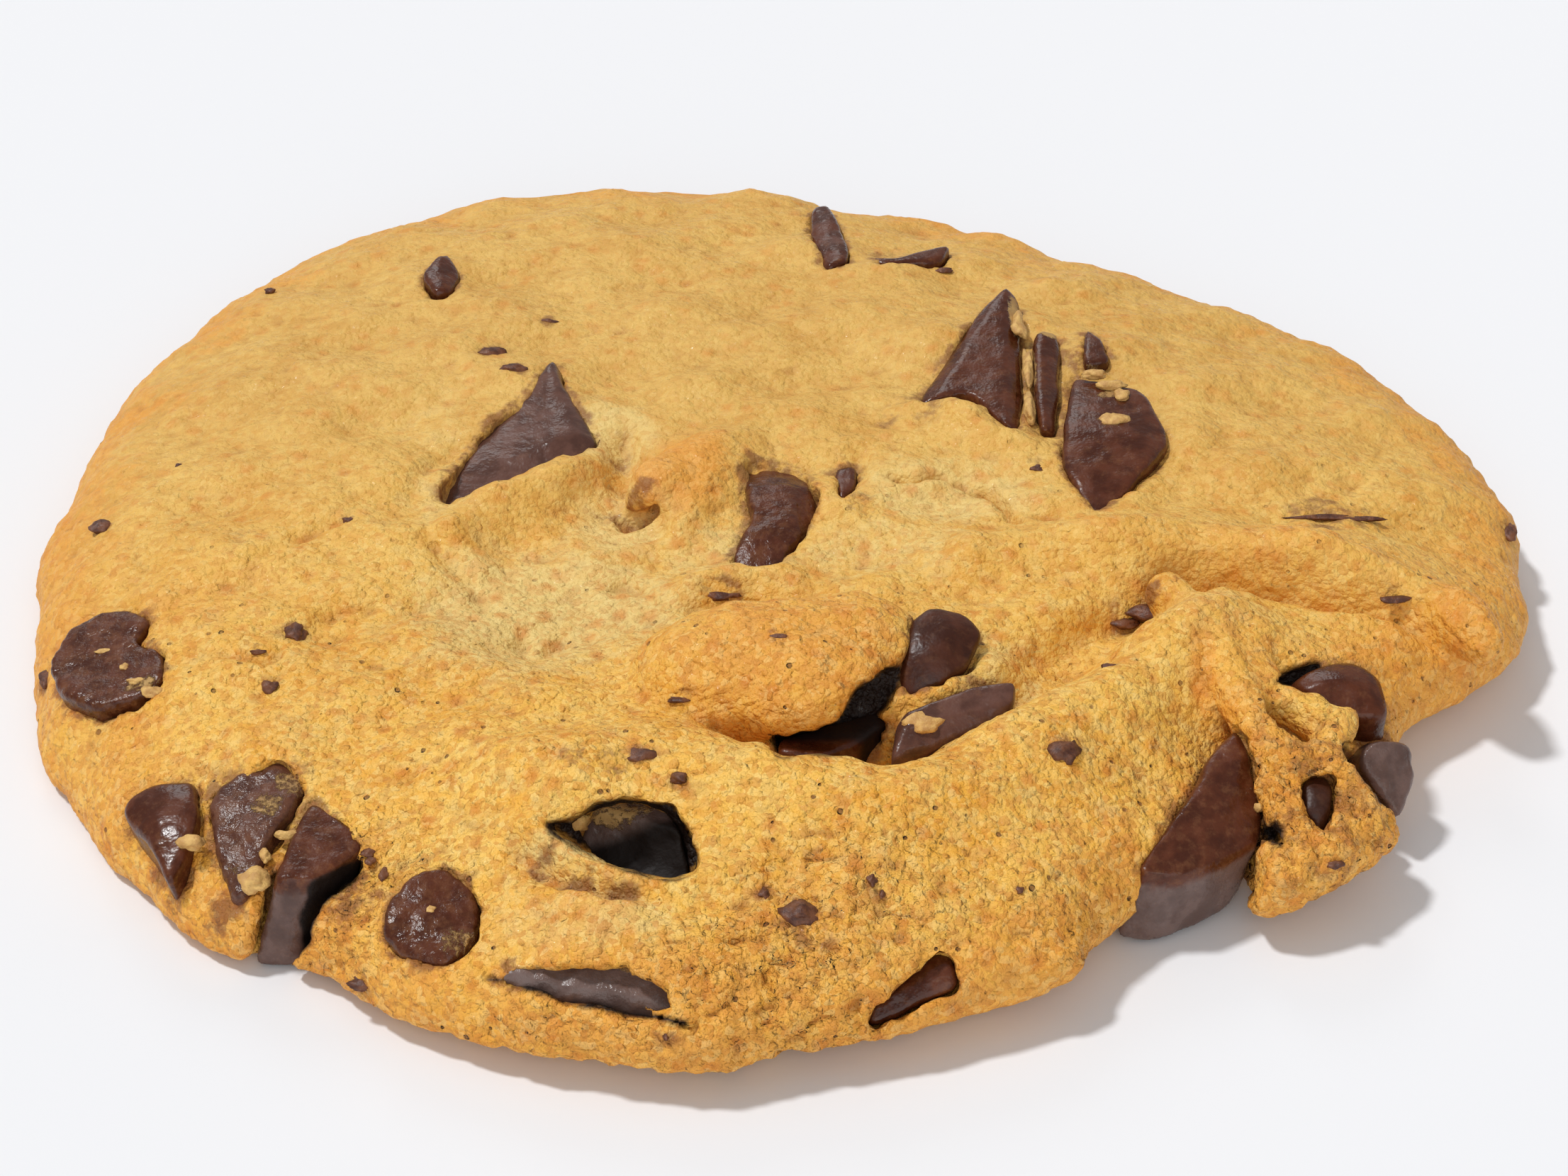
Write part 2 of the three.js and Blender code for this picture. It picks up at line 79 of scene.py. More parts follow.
# Broad swellings and hollows: middle, reach, rise and whether its side is steep.
MOUNDS = [
    ((-14, -11), (12, 9), -1.7, False),
    ((-11, 0.5), (3.4, 3), -2, False),
    ((38, -15.5), (9, 3.6), 1, False),
    ((33, -28), (9.5, 7.8), -4.6, True),
    ((17, 20), (8, 5), 0.8, False),
    ((8, 4), (6, 6), 0.7, False),
    ((-30, -5), (9, 6), 0.6, False),
    ((-24, 18), (8, 5), 0.7, False),
    ((-30.5, -33.5), (7, 5), -1.8, False),
    ((-21, -41), (5, 4), -1.3, False),
    ((6, 24), (9, 5), 0.6, False),
]

# Long waves that cross all over the top: rise, pitch, direction, start.
WAVES = [
    (0.22, 14.3, 23, 0.4),
    (0.2, 11.1, 81, 2.1),
    (0.17, 8.7, 137, 4.4),
    (0.14, 6.9, 52, 1.2),
    (0.12, 5.6, 109, 3.3),
]

# Lumps of dough over the top: middle, half sizes, turn, and how softly it runs into its surroundings.
LUMPS = [
    ((-1, -20.2, 9.2), (8.6, 5.4, 4.2), 4, 0.7),
    ((4.4, -18.6, 9.6), (4.6, 4.2, 3.6), 20, 0.9),
    ((1.6, -22.4, 9.7), (5.4, 4.6, 3.4), 6, 0.7),
    ((-5, -21.2, 9), (4, 4, 3.2), 0, 0.9),
    ((-6, 2.6, 8.8), (2.9, 6.6, 2.3), -35, 1.6),
    ((-8.3, 0.2, 9.6), (2, 2.2, 1.8), 0, 0.8),
    ((31.6, -28.8, 5.2), (3.4, 4.4, 2.6), 0, 1.2),
    ((32.4, -32, 4.2), (4, 3, 2.2), 8, 1),
    ((30.2, -33.9, 3.6), (2.8, 2.2, 1.9), 12, 0.9),
    ((15, -41.6, 3.8), (3.4, 2.4, 1.9), 4, 0.8),
    ((44.4, -13, 7.6), (1.9, 3.4, 1.9), 24, 1.2),
]

# Torn strands: radius, how softly they join, line.
STRANDS = [
    (1.55, 0.8,
     [(25, -12.4, 9.6), (27.3, -17.8, 9.4), (28.9, -22.5, 9), (30, -26.2, 8.4), (31.6, -27.6, 7.6),
      (34.1, -28, 7)]),
    (1.25, 0.8,
     [(28.5, -13.3, 9.1), (29.7, -18.4, 8.9), (31.2, -21.8, 8.5), (33, -23.2, 8), (34.6, -24.2, 7.4)]),
    (0.9, 0.8, [(34, -22.2, 8.2), (34.5, -24.5, 7.9), (33.3, -26.8, 7.7), (31.3, -27.3, 7.7)]),
    (0.9, 0.8, [(35.4, -23.3, 7.8), (34.7, -24.8, 7.5), (33.8, -26.6, 7.3)]),
    (1.4, 1, [(29.4, -26.8, 7.9), (28.7, -28.8, 7.6), (29.9, -29.9, 7), (31.5, -31.5, 6.4)]),
    (1.2, 0.9, [(31.3, -27.2, 7.7), (34, -27.6, 7.4), (35.5, -28.6, 6.7), (36.3, -29.9, 5.9)]),
    (1.6, 1, [(31.4, -32.6, 5.4), (34, -31.5, 5.3), (36.3, -30, 5.2)]),
    (1.8, 1, [(29, -34.3, 3.7), (30.8, -34.4, 4.4), (33.3, -33.3, 4.8), (35.6, -31.3, 4.5)]),
    (0.9, 0.8, [(35.5, -31.3, 4.7), (36.5, -31.1, 4.5), (37.2, -31, 4.3)]),
]


@dataclass
class Chunk:
    """A piece of chocolate: a flat outline along U and V, with W up, tipped in its seat in the dough."""

    name: str
    # the middle of its top, its tip about X and Y in degrees, and its thickness
    at: tuple
    tip: tuple
    thick: float
    outline: list
    # where its top falls away: past a point, toward a direction, with a slope; and how far at most
    facets: list | tuple = ()
    most_drop: float = 1.25
    # how far its top drops for each square mm from the middle
    dome: float = 0
    rough: float = 0.2
    # how far its foot stands out along U and V for each mm below its top
    lean: tuple = (0, 0)
    # how far its seat reaches past its outline, how deep that is below its top, and how far and toward
    # where it carries on over the side of the cookie
    seat: tuple = (-0.1, 1, 0, 0)
    # how dark it is in deep shade, and from where to where along V
    shade: tuple = (0, 0, 0)
    # how strongly a painted sheen, the grey reflection of the pale floor, lies on its faces, and the height
    # along W below which it does so
    painted_sheen: tuple = (0, 0)
    # whether it stands in the shade of a cleft
    in_cleft: bool = False

    def frame(self):
        return np.array(self.at), turn_matrix(*self.tip)

    def reach(self):
        return np.abs(np.asarray(self.outline)).max()

    def edge_distance(self, u, v):
        """Distance to the outline with its corners cut, negative inside."""
        return outline_distance(u, v, cut_corners(self.outline))

    def leaned(self, local):
        """Points along U, V and W, with the lean of its foot taken out."""
        out_u, out_v = self.lean
        down = np.maximum(-local[:, 2], 0)
        return local - np.stack([out_u * down, out_v * down, 0 * down], axis=1)


CHUNKS = [
    Chunk("chunk_back_long", (14, 15.5, 9.9), (3, 0), 4,
          [(2, 9.5), (3, 8.5), (2.5, -7.5), (1, -7.5), (-1, -3.5), (-5, -5), (-2.5, 1), (0, 7)],
          facets=[((-0.9, 2.1), 159, 0.55), ((1.7, -0.4), -2, 0.7)]),
    Chunk("chunk_back_slab", (18.5, 13.5, 9.9), (3, 0), 4,
          [(-1, 5.5), (1.2, 6), (0.3, -6), (-1, -6)],
          facets=[((-0.3, -0.3), -3, 0.5)]),
    Chunk("chunk_back_chip", (22, 17.5, 9.7), (0, 0), 3,
          [(-0.6, 3), (0.6, 1.5), (1, -1.5), (-1, -2)]),
    Chunk("chunk_back_wedge", (22.5, 6, 10.2), (4, 0), 4,
          [(-2.4, 7.5), (-1, 7), (2.5, 5.5), (4, 0), (2.5, -3), (-0.5, -7.5), (-2, -8), (-3.8, -2.5)],
          facets=[((-2.9, 1.8), 178, 0.7), ((-2.5, -6.2), -165, 0.7), ((1, -4.5), -32, 0.9),
                  ((2, 0.9), 0, 0.5)],
          dome=0.015),
    Chunk("chunk_left_shard", (-18, 7, 9.3), (5, 0), 4,
          [(2, 9.5), (3, 5.5), (5.5, 0), (4.5, -1.5), (-2.5, -5.5), (-4.5, -7.5), (-5.5, -6.5), (-3, 0.5),
           (0, 4.5)],
          facets=[((-0.6, -1.8), -66, 0.75), ((3.5, -0.6), -92, 0.75), ((1.9, 5.4), -175, 0.35),
                  ((3.2, 2.5), 15, 0.55)],
          painted_sheen=(0.35, 9)),
    Chunk("chunk_centre", (-1, -2.5, 9.5), (5, 0), 4,
          [(-2, 6.5), (2.5, 5.5), (3.5, 0.5), (1.5, -3.5), (0.5, -6), (-3, -5.5), (-1, -0.5), (-1.5, 3)],
          facets=[((1.5, 1.6), 2, 0.7), ((0, 5.2), 121, 0.4), ((0.6, -2.1), -90, 0.35)], dome=0.04,
          rough=0.7),
    Chunk("chunk_centre_bit", (4.2, 1.5, 9.2), (0, 0), 2.5,
          [(-0.9, 1.5), (0.8, 2), (0.8, -0.5), (-0.4, -2.5)]),
    Chunk("chunk_far_bar", (3.5, 36.4, 8.2), (-6, 0), 3,
          [(-1.5, 4.5), (0, 4.8), (1, 0), (1.5, -5), (-0.5, -6), (-1.5, 0)],
          facets=[((0.2, -3), -171, 0.4)]),
    Chunk("chunk_far_bit", (9, 32, 8.5), (-4, 0), 3,
          [(-2.6, 0.2), (-0.5, 0.2), (3.5, 2.5), (2.5, -0.5), (-2, -1)]),
    Chunk("chunk_far_chip", (-25, 29.6, 8.8), (0, 0), 3,
          [(-1.2, -0.5), (-0.5, 2), (0.5, 3), (1.5, 0.5), (1, -2.5), (-0.2, -3)],
          facets=[((0.4, -1.7), 6, 0.5)]),
    Chunk("chip_left_round", (-43, -15.5, 7.1), (5, -14), 3,
          [(-4.5, 0), (-4, 3), (-2, 4.6), (0.2, 4.6), (2.2, 3), (1.2, 0.8), (3.4, -0.6), (3.6, -3.2),
           (2.2, -4.8), (-0.6, -5), (-3.2, -3.2)],
          rough=0.8),
    Chunk("chunk_front_left_outer", (-38, -31.5, 6.3), (12, -10), 3.5,
          [(-3.1, 1.5), (-2.5, 2.8), (-0.8, 3.3), (1.5, 3.2), (2, 0.6), (1.9, -1.3), (1.2, -3.1),
           (0.2, -4.5), (-1.2, -1.4)],
          facets=[((-0.8, 0.8), -159, 0.6), ((0.9, -1.2), -103, 0.45)], dome=0.05),
    Chunk("chunk_front_left_inner", (-32.5, -32.5, 6.7), (12, -8), 3.5,
          [(-3, 2.4), (-0.9, 4.3), (1.7, 5.1), (3.1, 2.8), (2.2, 0.4), (1.2, -1.2), (0.6, -3), (-0.1, -4.7),
           (-1, -5.3), (-2.2, -2.4)],
          facets=[((0.2, -1), -135, 0.35), ((1.9, 2.5), 34, 0.3)], rough=1, painted_sheen=(0.15, 9)),
    Chunk("chunk_front_left_block", (-29, -35, 6.7), (8, 0), 6,
          [(-0.9, 1.6), (0, 4), (2.3, 2.2), (3.8, 0.2), (2.1, -1.6), (0.7, -2.8), (-1.7, -2.8),
           (-1.3, -0.7)],
          facets=[((-0.9, -0.4), 179, 0.3)], rough=0.5, lean=(-0.28, -0.24), painted_sheen=(0.7, -0.75),
          in_cleft=True),
    Chunk("chip_front_round", (-21, -40.8, 6.7), (20, 0), 3,
          [(-1, 2.6), (0.6, 3), (2.2, 1.8), (3, 0), (2.6, -2.6), (1, -4), (-1.2, -3.2), (-2.8, -1.8),
           (-2.6, 0.6)],
          facets=[((0.7, -0.5), 30, 0.2), ((-0.4, -2.1), -119, 0.4)], rough=0.8),
    Chunk("chunk_front_strip", (-11.5, -46, 5.6), (22, 0), 2.6,
          [(-6, 0), (-4.5, 1), (-2.5, 1.5), (2, 1.5), (4.5, 0), (6.5, -2.5), (0.5, -1.5)],
          facets=[((0.5, -0.7), -101, 0.7)], rough=0.8, seat=(-0.35, 1, 0, 0), painted_sheen=(1, 9)),
    Chunk("chunk_in_slot", (-8.5, -36, 8), (4, 0), 3.5,
          [(-4.1, 2.1), (-2.9, 3.6), (-1.5, 4.1), (1.2, 3.2), (2.4, 1.1), (3.4, -2.4), (1.5, -2.9),
           (-2.3, -1.7)],
          facets=[((-0.5, 1.9), -112, 2.5)], most_drop=3, rough=0.6, seat=(0, 3.2, 0, 0),
          shade=(1, -9, 1.6), painted_sheen=(1, 9)),
    Chunk("chunk_front_edge", (8, -45.2, 4.4), (42, 0), 2.6,
          [(-3, -2.5), (-3, -1), (-1, 0.5), (1, 2.2), (2, 2), (2.5, 0), (0.5, -1)],
          facets=[((-0.4, 0.1), 121, 0.5)]),
    Chunk("chunk_under_lump", (10.6, -20, 11.2), (25, 14), 5,
          [(-2.6, 1.3), (-1.2, 3.1), (0.9, 3), (2.2, 1.6), (1.5, -0.9), (-0.6, -3), (-2.4, -3.8), (-3, -2)],
          facets=[((-1.3, -1), 169, 0.55), ((-0.1, -0.7), -16, 0.5)], dome=0.1, seat=(-0.1, 1.4, 0, 0),
          shade=(0.3, -9, 9)),
    Chunk("chunk_in_trough", (3.2, -25.4, 8), (0, 0), 2.4,
          [(3.6, 1.6), (1.5, -1), (-0.5, -2.2), (-3.4, -2), (-3.5, -0.5), (-0.5, 1), (2.4, 2.6)],
          facets=[((-0.4, 1.7), 110, 0.4)], shade=(0.95, -0.8, 9)),
    Chunk("chunk_on_roll", (10.6, -25.6, 9.6), (14, 0), 2.6,
          [(-4, -3), (-3.4, 0.3), (-1.2, 1.4), (1.5, 2.6), (4.2, 3.1), (3.7, 0.7), (1.7, -0.6), (-1.8, -2)],
          facets=[((0, 0.1), -74, 0.8), ((-2.8, -0.3), -168, 0.8)], painted_sheen=(0.3, 9)),
    Chunk("chunk_front_right", (26.2, -30.5, 6.9), (20, 8), 4.8,
          [(1.8, 5.9), (2.6, 4.2), (3.1, 1.7), (3.7, -0.8), (3.1, -2.4), (1, -4.2), (-2, -5.9),
           (-4.6, -5.8), (-2, -1.3), (0.3, 3.6)],
          facets=[((-1.9, -1.5), 149, 0.5), ((1.4, 0.9), -22, 0.3)], rough=0.4, lean=(-0.1, -0.38),
          seat=(0, 5.4, 5, -94), painted_sheen=(0.9, -0.75)),
    Chunk("chunk_lobe_chip", (32.9, -30.2, 6.9), (24, 0), 2.4,
          [(-0.9, 0.7), (-0.3, 1.7), (0.9, 2), (1.3, 0.9), (0.8, -1.1), (0.2, -2.2), (-0.9, -1)],
          facets=[((-0.2, -0.2), 179, 0.4)], dome=0.2, seat=(0.1, 1, 0, 0), shade=(0.5, -9, 9)),
    Chunk("chunk_right_upper", (35.2, -20.6, 8.4), (10, 0), 3.6,
          [(-3.2, 0.8), (-0.6, 2.5), (1.5, 2.9), (3, 1.3), (3.2, -1.5), (2, -2.2), (-0.5, -1.6),
           (-1.8, -0.4)],
          facets=[((0.6, 2), 98, 0.3), ((0.7, 0), -100, 0.8), ((2.5, 0.8), 11, 0.5)], dome=0.1),
    Chunk("chunk_right_lower", (38.2, -25.4, 5.5), (42, 14), 2.8,
          [(-2.3, 0.4), (-1.4, 1.7), (1.4, 2.1), (1.9, -0.6), (1.1, -3), (-0.4, -1.8)],
          facets=[((-1.2, 2.1), 117, 0.8), ((-0.4, 0.5), 4, 0.5)], rough=0.6, seat=(0.3, 2.6, 4, -34),
          painted_sheen=(0.75, 9)),
]

# Creases and low ridges finer than the folds: rise, width, line.
CREASES = [
    # round the chocolate at the back
    (-1.1, 0.45, [(6.7, 1.5), (9.1, 0.9), (11.5, 2.4)]),
    (-1.5, 0.45, [(12.8, 1.2), (14.2, -0.3), (15.1, -3.2), (16, -5)]),
    (0.5, 0.9, [(8, 0), (12.2, 0.4), (14.1, -3.1)]),
    (0.8, 1.1, [(6.6, 8.3), (8.8, 10), (11.3, 10.2), (13.2, 7.4), (15.6, 5.9), (18.3, 6.5)]),
    (-0.5, 0.8, [(5.4, 6.2), (5.1, 2.8), (5.3, -2)]),
    (0.4, 1, [(21.6, -5.3), (25.1, 1.9), (28.4, 6.6), (26.7, 13)]),
    # round the two pieces in the middle
    (0.7, 1, [(-22.6, -2.2), (-18.8, -0.2), (-15.7, 1.1), (-11.9, 3.6)]),
    (-1.5, 1.3, [(-10.7, 9.9), (-10.9, 5.2), (-11.3, 1.2)]),
    (-0.5, 0.8, [(-21.9, 7.2), (-24.2, 2.8), (-25.3, -1.4)]),
    (0.8, 1.3, [(-7.7, -5.3), (-5.7, -1.9), (-4.3, 1.3)]),
    (0.9, 1.1, [(-7.5, -12.2), (-4.8, -9.9), (-0.7, -9.6), (2.6, -11.3)]),
    (-0.8, 0.6, [(-7, -13.4), (-3.9, -12.2), (-0.6, -12.2)]),
    (0.5, 0.9, [(-22.8, -3.2), (-21.1, -5.9), (-18.4, -8.6)]),
    (-0.5, 0.7, [(-23.9, -2.7), (-22.6, -6.6), (-20.4, -9.7), (-18.2, -13.3)]),
    (-0.6, 0.6, [(-17.1, -13.9), (-15.8, -17), (-13.6, -13.6)]),
    (-0.7, 0.6, [(-11.7, -10.2), (-10.2, -9.3), (-8.6, -11.2)]),
    # lips of the slot at the front
    (1, 0.8, [(-16.2, -36.7), (-14, -38.7), (-10.9, -40.5), (-7.4, -41.2)]),
    (-1.4, 0.55, [(-17.4, -36.4), (-15.4, -38.3), (-13.3, -40.1), (-10.4, -41.7), (-6.4, -42.4)]),
    (0.5, 0.9, [(-13.9, -41), (-11.1, -42.9), (-7.3, -43.5)]),
    (-0.5, 0.4, [(28.4, -20.2), (28.4, -23), (28, -25.6)]),
    # over and under the long piece at the front
    (0.8, 1.2, [(-18.5, -45.7), (-13.7, -47.5), (-9.1, -48.5), (-4.5, -49.2)]),
    (-0.7, 0.6, [(-17.9, -45.5), (-13.7, -46.9), (-9.1, -48), (-5, -48.9)]),
    (-0.9, 0.5, [(12.4, -43.2), (14.6, -42.6), (16.7, -42.3), (18.1, -42.9)]),
    (-0.6, 0.5, [(-2.7, -48.3), (-0.4, -47.3), (1.9, -47.2), (4.3, -47.1)]),
    (0.4, 1.2, [(-1.8, -44.3), (2.4, -44.3), (5.7, -43.2)]),
    (-0.5, 0.6, [(-0.6, -41.2), (0.1, -43), (1.9, -43.7)]),
    # left
    (-0.6, 0.5, [(-36.8, -17.2), (-34.4, -18.3), (-32.6, -18.5), (-31.5, -17)]),
    (-0.4, 0.6, [(-35.8, -9.6), (-33.7, -6.9), (-30.1, -4.1), (-27.5, -3.2)]),
    (-0.4, 0.7, [(-40.5, -11.4), (-38.8, -10.5), (-37.9, -9.2)]),
    (0.5, 1, [(-38.4, -13.6), (-35.6, -11.7), (-31.8, -14), (-29.4, -12.6)]),
    (-0.5, 0.6, [(-30.5, -14.6), (-28.3, -12.9), (-25.3, -12.8)]),
    (-0.6, 0.5, [(-39.3, -33), (-37.2, -34.5), (-35.9, -34.5)]),
    # right
    (-0.7, 0.7, [(14.5, -19.2), (17.2, -16.9), (20.3, -14.3), (23.9, -13.2)]),
    (0.9, 1.1, [(7.5, -24.3), (10, -22.6), (13, -20.8), (15.6, -19)]),
    (-0.7, 0.5, [(28.7, -9.9), (32.3, -10.2), (36.2, -11), (40.2, -12.1), (43.2, -14)]),
    (-0.3, 0.5, [(31.4, -3.2), (34.6, -2.4), (38.3, -2.3)]),
]

# Hollows torn into the dough: middle, half sizes, turn, how soft the edge is, and how dark inside.
HOLLOWS = [
    ((31.2, -24.6, 9.2), (1, 1.2, 1.5), 0, 0.6, 0.35),
    ((36.4, -21.6, 7), (1.6, 1.3, 1.4), 0, 0.4, 0.8),
    ((-10.2, -3.4, 9.3), (2.4, 1.9, 1), 0, 0.9, 0),
]

# Clefts that run down and back under the dough: middle of the mouth, depth, how dark inside, and
# the outline of the mouth seen along the cleft.
CLEFTS = [
    # the slot at the front
    ((-9.8, -37.6, 9.6), 2.8, 1,
     [(-4.7, 0.9), (-2.6, 1.1), (-1.3, 2.1), (0, 2.4), (1.9, 2), (3.2, 2.1), (3.7, 1), (4.8, -0.7),
      (4.7, -1.8), (3.5, -2.3), (1.9, -2.2), (-0.8, -1.4), (-2.7, -0.5)]),
    # under the lump
    ((3, -25.7, 9.2), 3, 1,
     [(-3.7, -0.6), (-2.7, -0.7), (-1, -0.2), (0.2, 0.2), (1.1, 1.2), (1.7, 2.4), (3.1, 3.3), (4.5, 3.7),
      (4, 1.6), (2.6, -0.1), (1.6, -1.6), (0.2, -1.8), (-1.5, -1.6), (-3.3, -1.9), (-3.6, -1.2)]),
    # beside the torn lobe and the chocolate on the right
    ((30.2, -32.4, 6), 2, 1,
     [(-0.4, 0.5), (0.2, 0.7), (0.5, 0.1), (0.3, -0.7), (-0.2, -0.7), (-0.6, -0.2)]),
    ((36.1, -26.5, 6.4), 3, 1,
     [(-1.2, 1.5), (-0.6, 1.8), (0.1, 0.9), (1.1, -1.1), (1.4, -2.2), (0.8, -2), (-0.3, -0.3),
      (-1.1, 0.9)]),
    ((32.2, -20, 8.6), 2, 1, [(-1.4, -0.1), (0.5, 0.7), (2.2, 1.2), (2.2, 0.3), (1.3, -0.4), (0, -0.5)]),
    # under the bridge of dough in the middle
    ((-9.6, -0.9, 8.9), 1, 0,
     [(-2, 0.3), (-0.8, -0.1), (0.4, -0.2), (1.4, 0.5), (1.4, -0.5), (0.3, -1.5), (-0.8, -1.8),
      (-1.7, -1.1)]),
    # in front and right of the block at the front left
    ((-29.9, -37.8, 3.9), 2.2, 0,
     [(-1.3, 2.6), (1.4, 2.3), (1.5, 1.7), (0.8, -0.6), (0.6, -3.1), (-2.6, -3.2), (-2.4, -1.8),
      (-1.7, 0.3)]),
    ((-27, -37.6, 4.6), 3, 1,
     [(-1.6, 1.3), (1, 2.8), (1.6, 2.6), (1.2, 1.4), (-0.1, 0.6), (-1.1, -0.6), (-1.6, -2.5), (-2.4, -3.5),
      (-2.4, -1.3), (-1.9, 0.3)]),
    # below the long piece at the front
    ((-12.5, -47, 5.2), 1, 1,
     [(-5.4, 1.1), (-2.2, 0.9), (1.5, 0.1), (4.7, -0.7), (7.5, -1.3), (7.6, -1.7), (4.5, -1.2), (1.1, -0.5),
      (-2.7, 0.4)]),
]
CLEFT_TIP = (55, 0)

# How far toward the front a seat's mouth moves for each mm above the chunk, and how far along U and V
# the whole seat lies off the chunk, which leaves a thin gap on one side.
SEAT_LEAN = 1.2
SEAT_SHIFT = (0.12, -0.2)

# How far the ridges between facets stand over the dough.
RIDGE_LIFT = 0.3

# Small bits of chocolate in the skin of the dough: middle, half sizes.
FLECKS = [
    ((-8.7, -31.7, 11.3), (0.9, 0.7)), ((-6.2, -33.5, 11), (0.6, 0.45)), ((17.4, -29.9, 10.5), (0.9, 1.1)),
    ((20.6, -21.5, 10.6), (0.5, 0.3)), ((-0.2, -21.7, 13.1), (0.6, 0.25)), ((1, -43.1, 8.4), (1.1, 0.9)),
    ((5.3, -40.6, 9), (0.35, 0.7)), ((14.2, -40.1, 7.7), (0.25, 0.3)), ((-31.3, -15.4, 8.9), (0.8, 0.9)),
    ((-33.4, -17.9, 9.2), (0.5, 0.25)), ((-32.4, -21, 8.7), (0.55, 0.6)), ((-45.9, -0.1, 6.7), (0.7, 0.8)),
    ((49.5, 1.9, 4.9), (0.5, 0.9)), ((17.2, 2.8, 9.5), (0.6, 0.4)), ((-48.2, -13.1, 3.4), (0.5, 0.9)),
    ((-25.2, -42.6, 2.5), (0.8, 0.6)), ((-20.5, 17.7, 9.5), (1, 0.5)), ((-18.8, 14.8, 10), (0.9, 0.4)),
    ((36.2, -2.2, 8.9), (2.4, 0.3)), ((38.9, -1.9, 8.6), (1.4, 0.25)), ((23.6, -12.7, 8.6), (1.4, 0.7)),
    ((22.2, -13.1, 8), (0.9, 0.5)), ((11.8, 30.9, 8.3), (0.7, 0.3)), ((-37.6, 31, 6.5), (0.4, 0.3)),
    ((-16.7, 22.5, 9.1), (0.6, 0.3)), ((-41.2, 5.5, 7.9), (0.35, 0.3)), ((-28.8, -3.3, 9.4), (0.4, 0.4)),
    ((33.8, -34.9, 5.5), (0.5, 0.35)), ((-6.4, -24.6, 10.4), (0.7, 0.35)), ((-4, -11.3, 8.9), (1.3, 0.4)),
    ((-1.1, -41.7, 8.7), (0.3, 0.5)), ((5.9, -41.5, 8.5), (0.2, 0.4)), ((-6.8, -49.9, 4.7), (0.2, 0.5)),
    ((39.9, -11.3, 8.6), (0.9, 0.3)), ((-24.1, -37.1, 6.5), (0.3, 0.5)), ((-25.1, -35.6, 6.9), (0.45, 0.3)),
    ((-25, -36.3, 6.8), (0.3, 0.3)),
]

# Crumbs and smears of dough that lie on the chocolate: middle, half sizes.
CRUMBS = [
    ((22.6, 7.4, 10.4), (1, 0.8, 0.4)), ((21.7, 12.7, 10.8), (0.9, 0.4, 0.3)),
    ((22.9, 11.6, 10.7), (0.9, 0.45, 0.3)), ((23.4, 10.3, 10.6), (0.5, 0.7, 0.3)),
    ((-36.2, -33.5, 6.1), (0.8, 0.6, 0.4)), ((-32, -36.8, 5.9), (0.9, 0.9, 0.5)),
    ((-31.5, -35.2, 6.4), (0.35, 0.6, 0.3)), ((-30.3, -33.7, 6.8), (0.7, 0.3, 0.3)),
    ((-42.2, -17, 7.3), (0.4, 0.35, 0.25)), ((-41, -18.6, 7.4), (0.8, 0.4, 0.25)),
    ((-40.1, -19.9, 7.5), (0.7, 0.5, 0.3)), ((-43.7, -15, 7.1), (0.6, 0.25, 0.2)),
    ((8.9, -25.6, 9.4), (1.3, 1, 0.6)), ((10.6, -24.2, 9.8), (0.45, 0.4, 0.3)),
    ((26.5, -33.1, 5.5), (0.35, 0.4, 0.3)), ((-21.1, -40.9, 6.8), (0.5, 0.35, 0.2)),
    ((17.1, 14.7, 10.1), (0.35, 2.2, 0.4)), ((17, 10, 9.8), (0.4, 1.6, 0.5)),
    ((16.7, 20, 10.3), (0.5, 1.6, 0.5)), ((29.4, -30.6, 6.5), (0.3, 0.3, 0.3)),
    ((-12.6, -34.3, 8.2), (0.9, 0.6, 0.6)),
]

# Where dough is smeared thinly over the chocolate: middle, reach, strength.
SMEARS = [
    ((-30.3, -29.6), (1.4, 1.5), 0.75), ((-31.7, -31.4), (1.3, 1.2), 0.75),
    ((-33.3, -35.9), (1.6, 1.5), 0.5), ((-35.4, -32.8), (0.5, 1.8), 0.8), ((-40.9, -19.1), (1.5, 0.9), 0.8),
    ((-43.5, -14.8), (1, 0.6), 0.5), ((-19, -43.1), (1.6, 1.4), 0.7), ((-13.8, -44.7), (2.5, 0.7), 0.7),
    ((-8.7, -45.2), (1.6, 0.8), 0.9), ((16.5, 21.6), (0.6, 3), 1), ((17.3, 14.8), (0.5, 3), 1),
    ((17, 9.4), (0.6, 2.4), 1), ((18.9, 19.2), (1.2, 1), 1), ((21.6, 14.4), (1.6, 1.6), 0.9),
    ((22.8, 10.6), (1.4, 0.7), 0.9), ((22.5, 7.3), (1.1, 0.9), 1), ((28.9, -29.5), (0.9, 1.8), 0.5),
    ((37.6, -23.2), (1.6, 0.6), 0.6), ((-2.5, -5.4), (2, 1.2), 0.4), ((-10.4, -33.3), (3.2, 1.3), 0.8),
]

# Where the dough is toasted, pale, stained by chocolate and darkened by painted shade in a few creases, or
# crumbly: middle, reach, strength.
TOASTED = [
    ((0, -22), (9, 7), 0.8), ((-6.4, 2.2), (3, 5), 0.95), ((-9, -49), (24, 4.5), 0.5),
    ((45.5, -13), (4, 5), 0.9), ((33, -31), (7, 7), 0.8), ((29, -20), (4, 6), 0.5),
    ((33, -7.5), (14, 2), 0.4), ((-38, -11), (6, 4), 0.4), ((4.7, -42), (7, 4), 0.5),
    ((-46, -18), (3, 5), 0.6), ((-40, -24), (4, 3), 0.4), ((15, -42), (5, 3), 0.4),
    ((-23, -44), (5, 2.5), 0.5), ((24, -14), (4, 2), 0.4), ((-8.2, 0.6), (2.2, 2.6), 1),
    ((26.6, -20.9), (1, 2.8), 1), ((27.8, -24.8), (0.8, 1.6), 1), ((32, -29.5), (3, 4), 1),
]
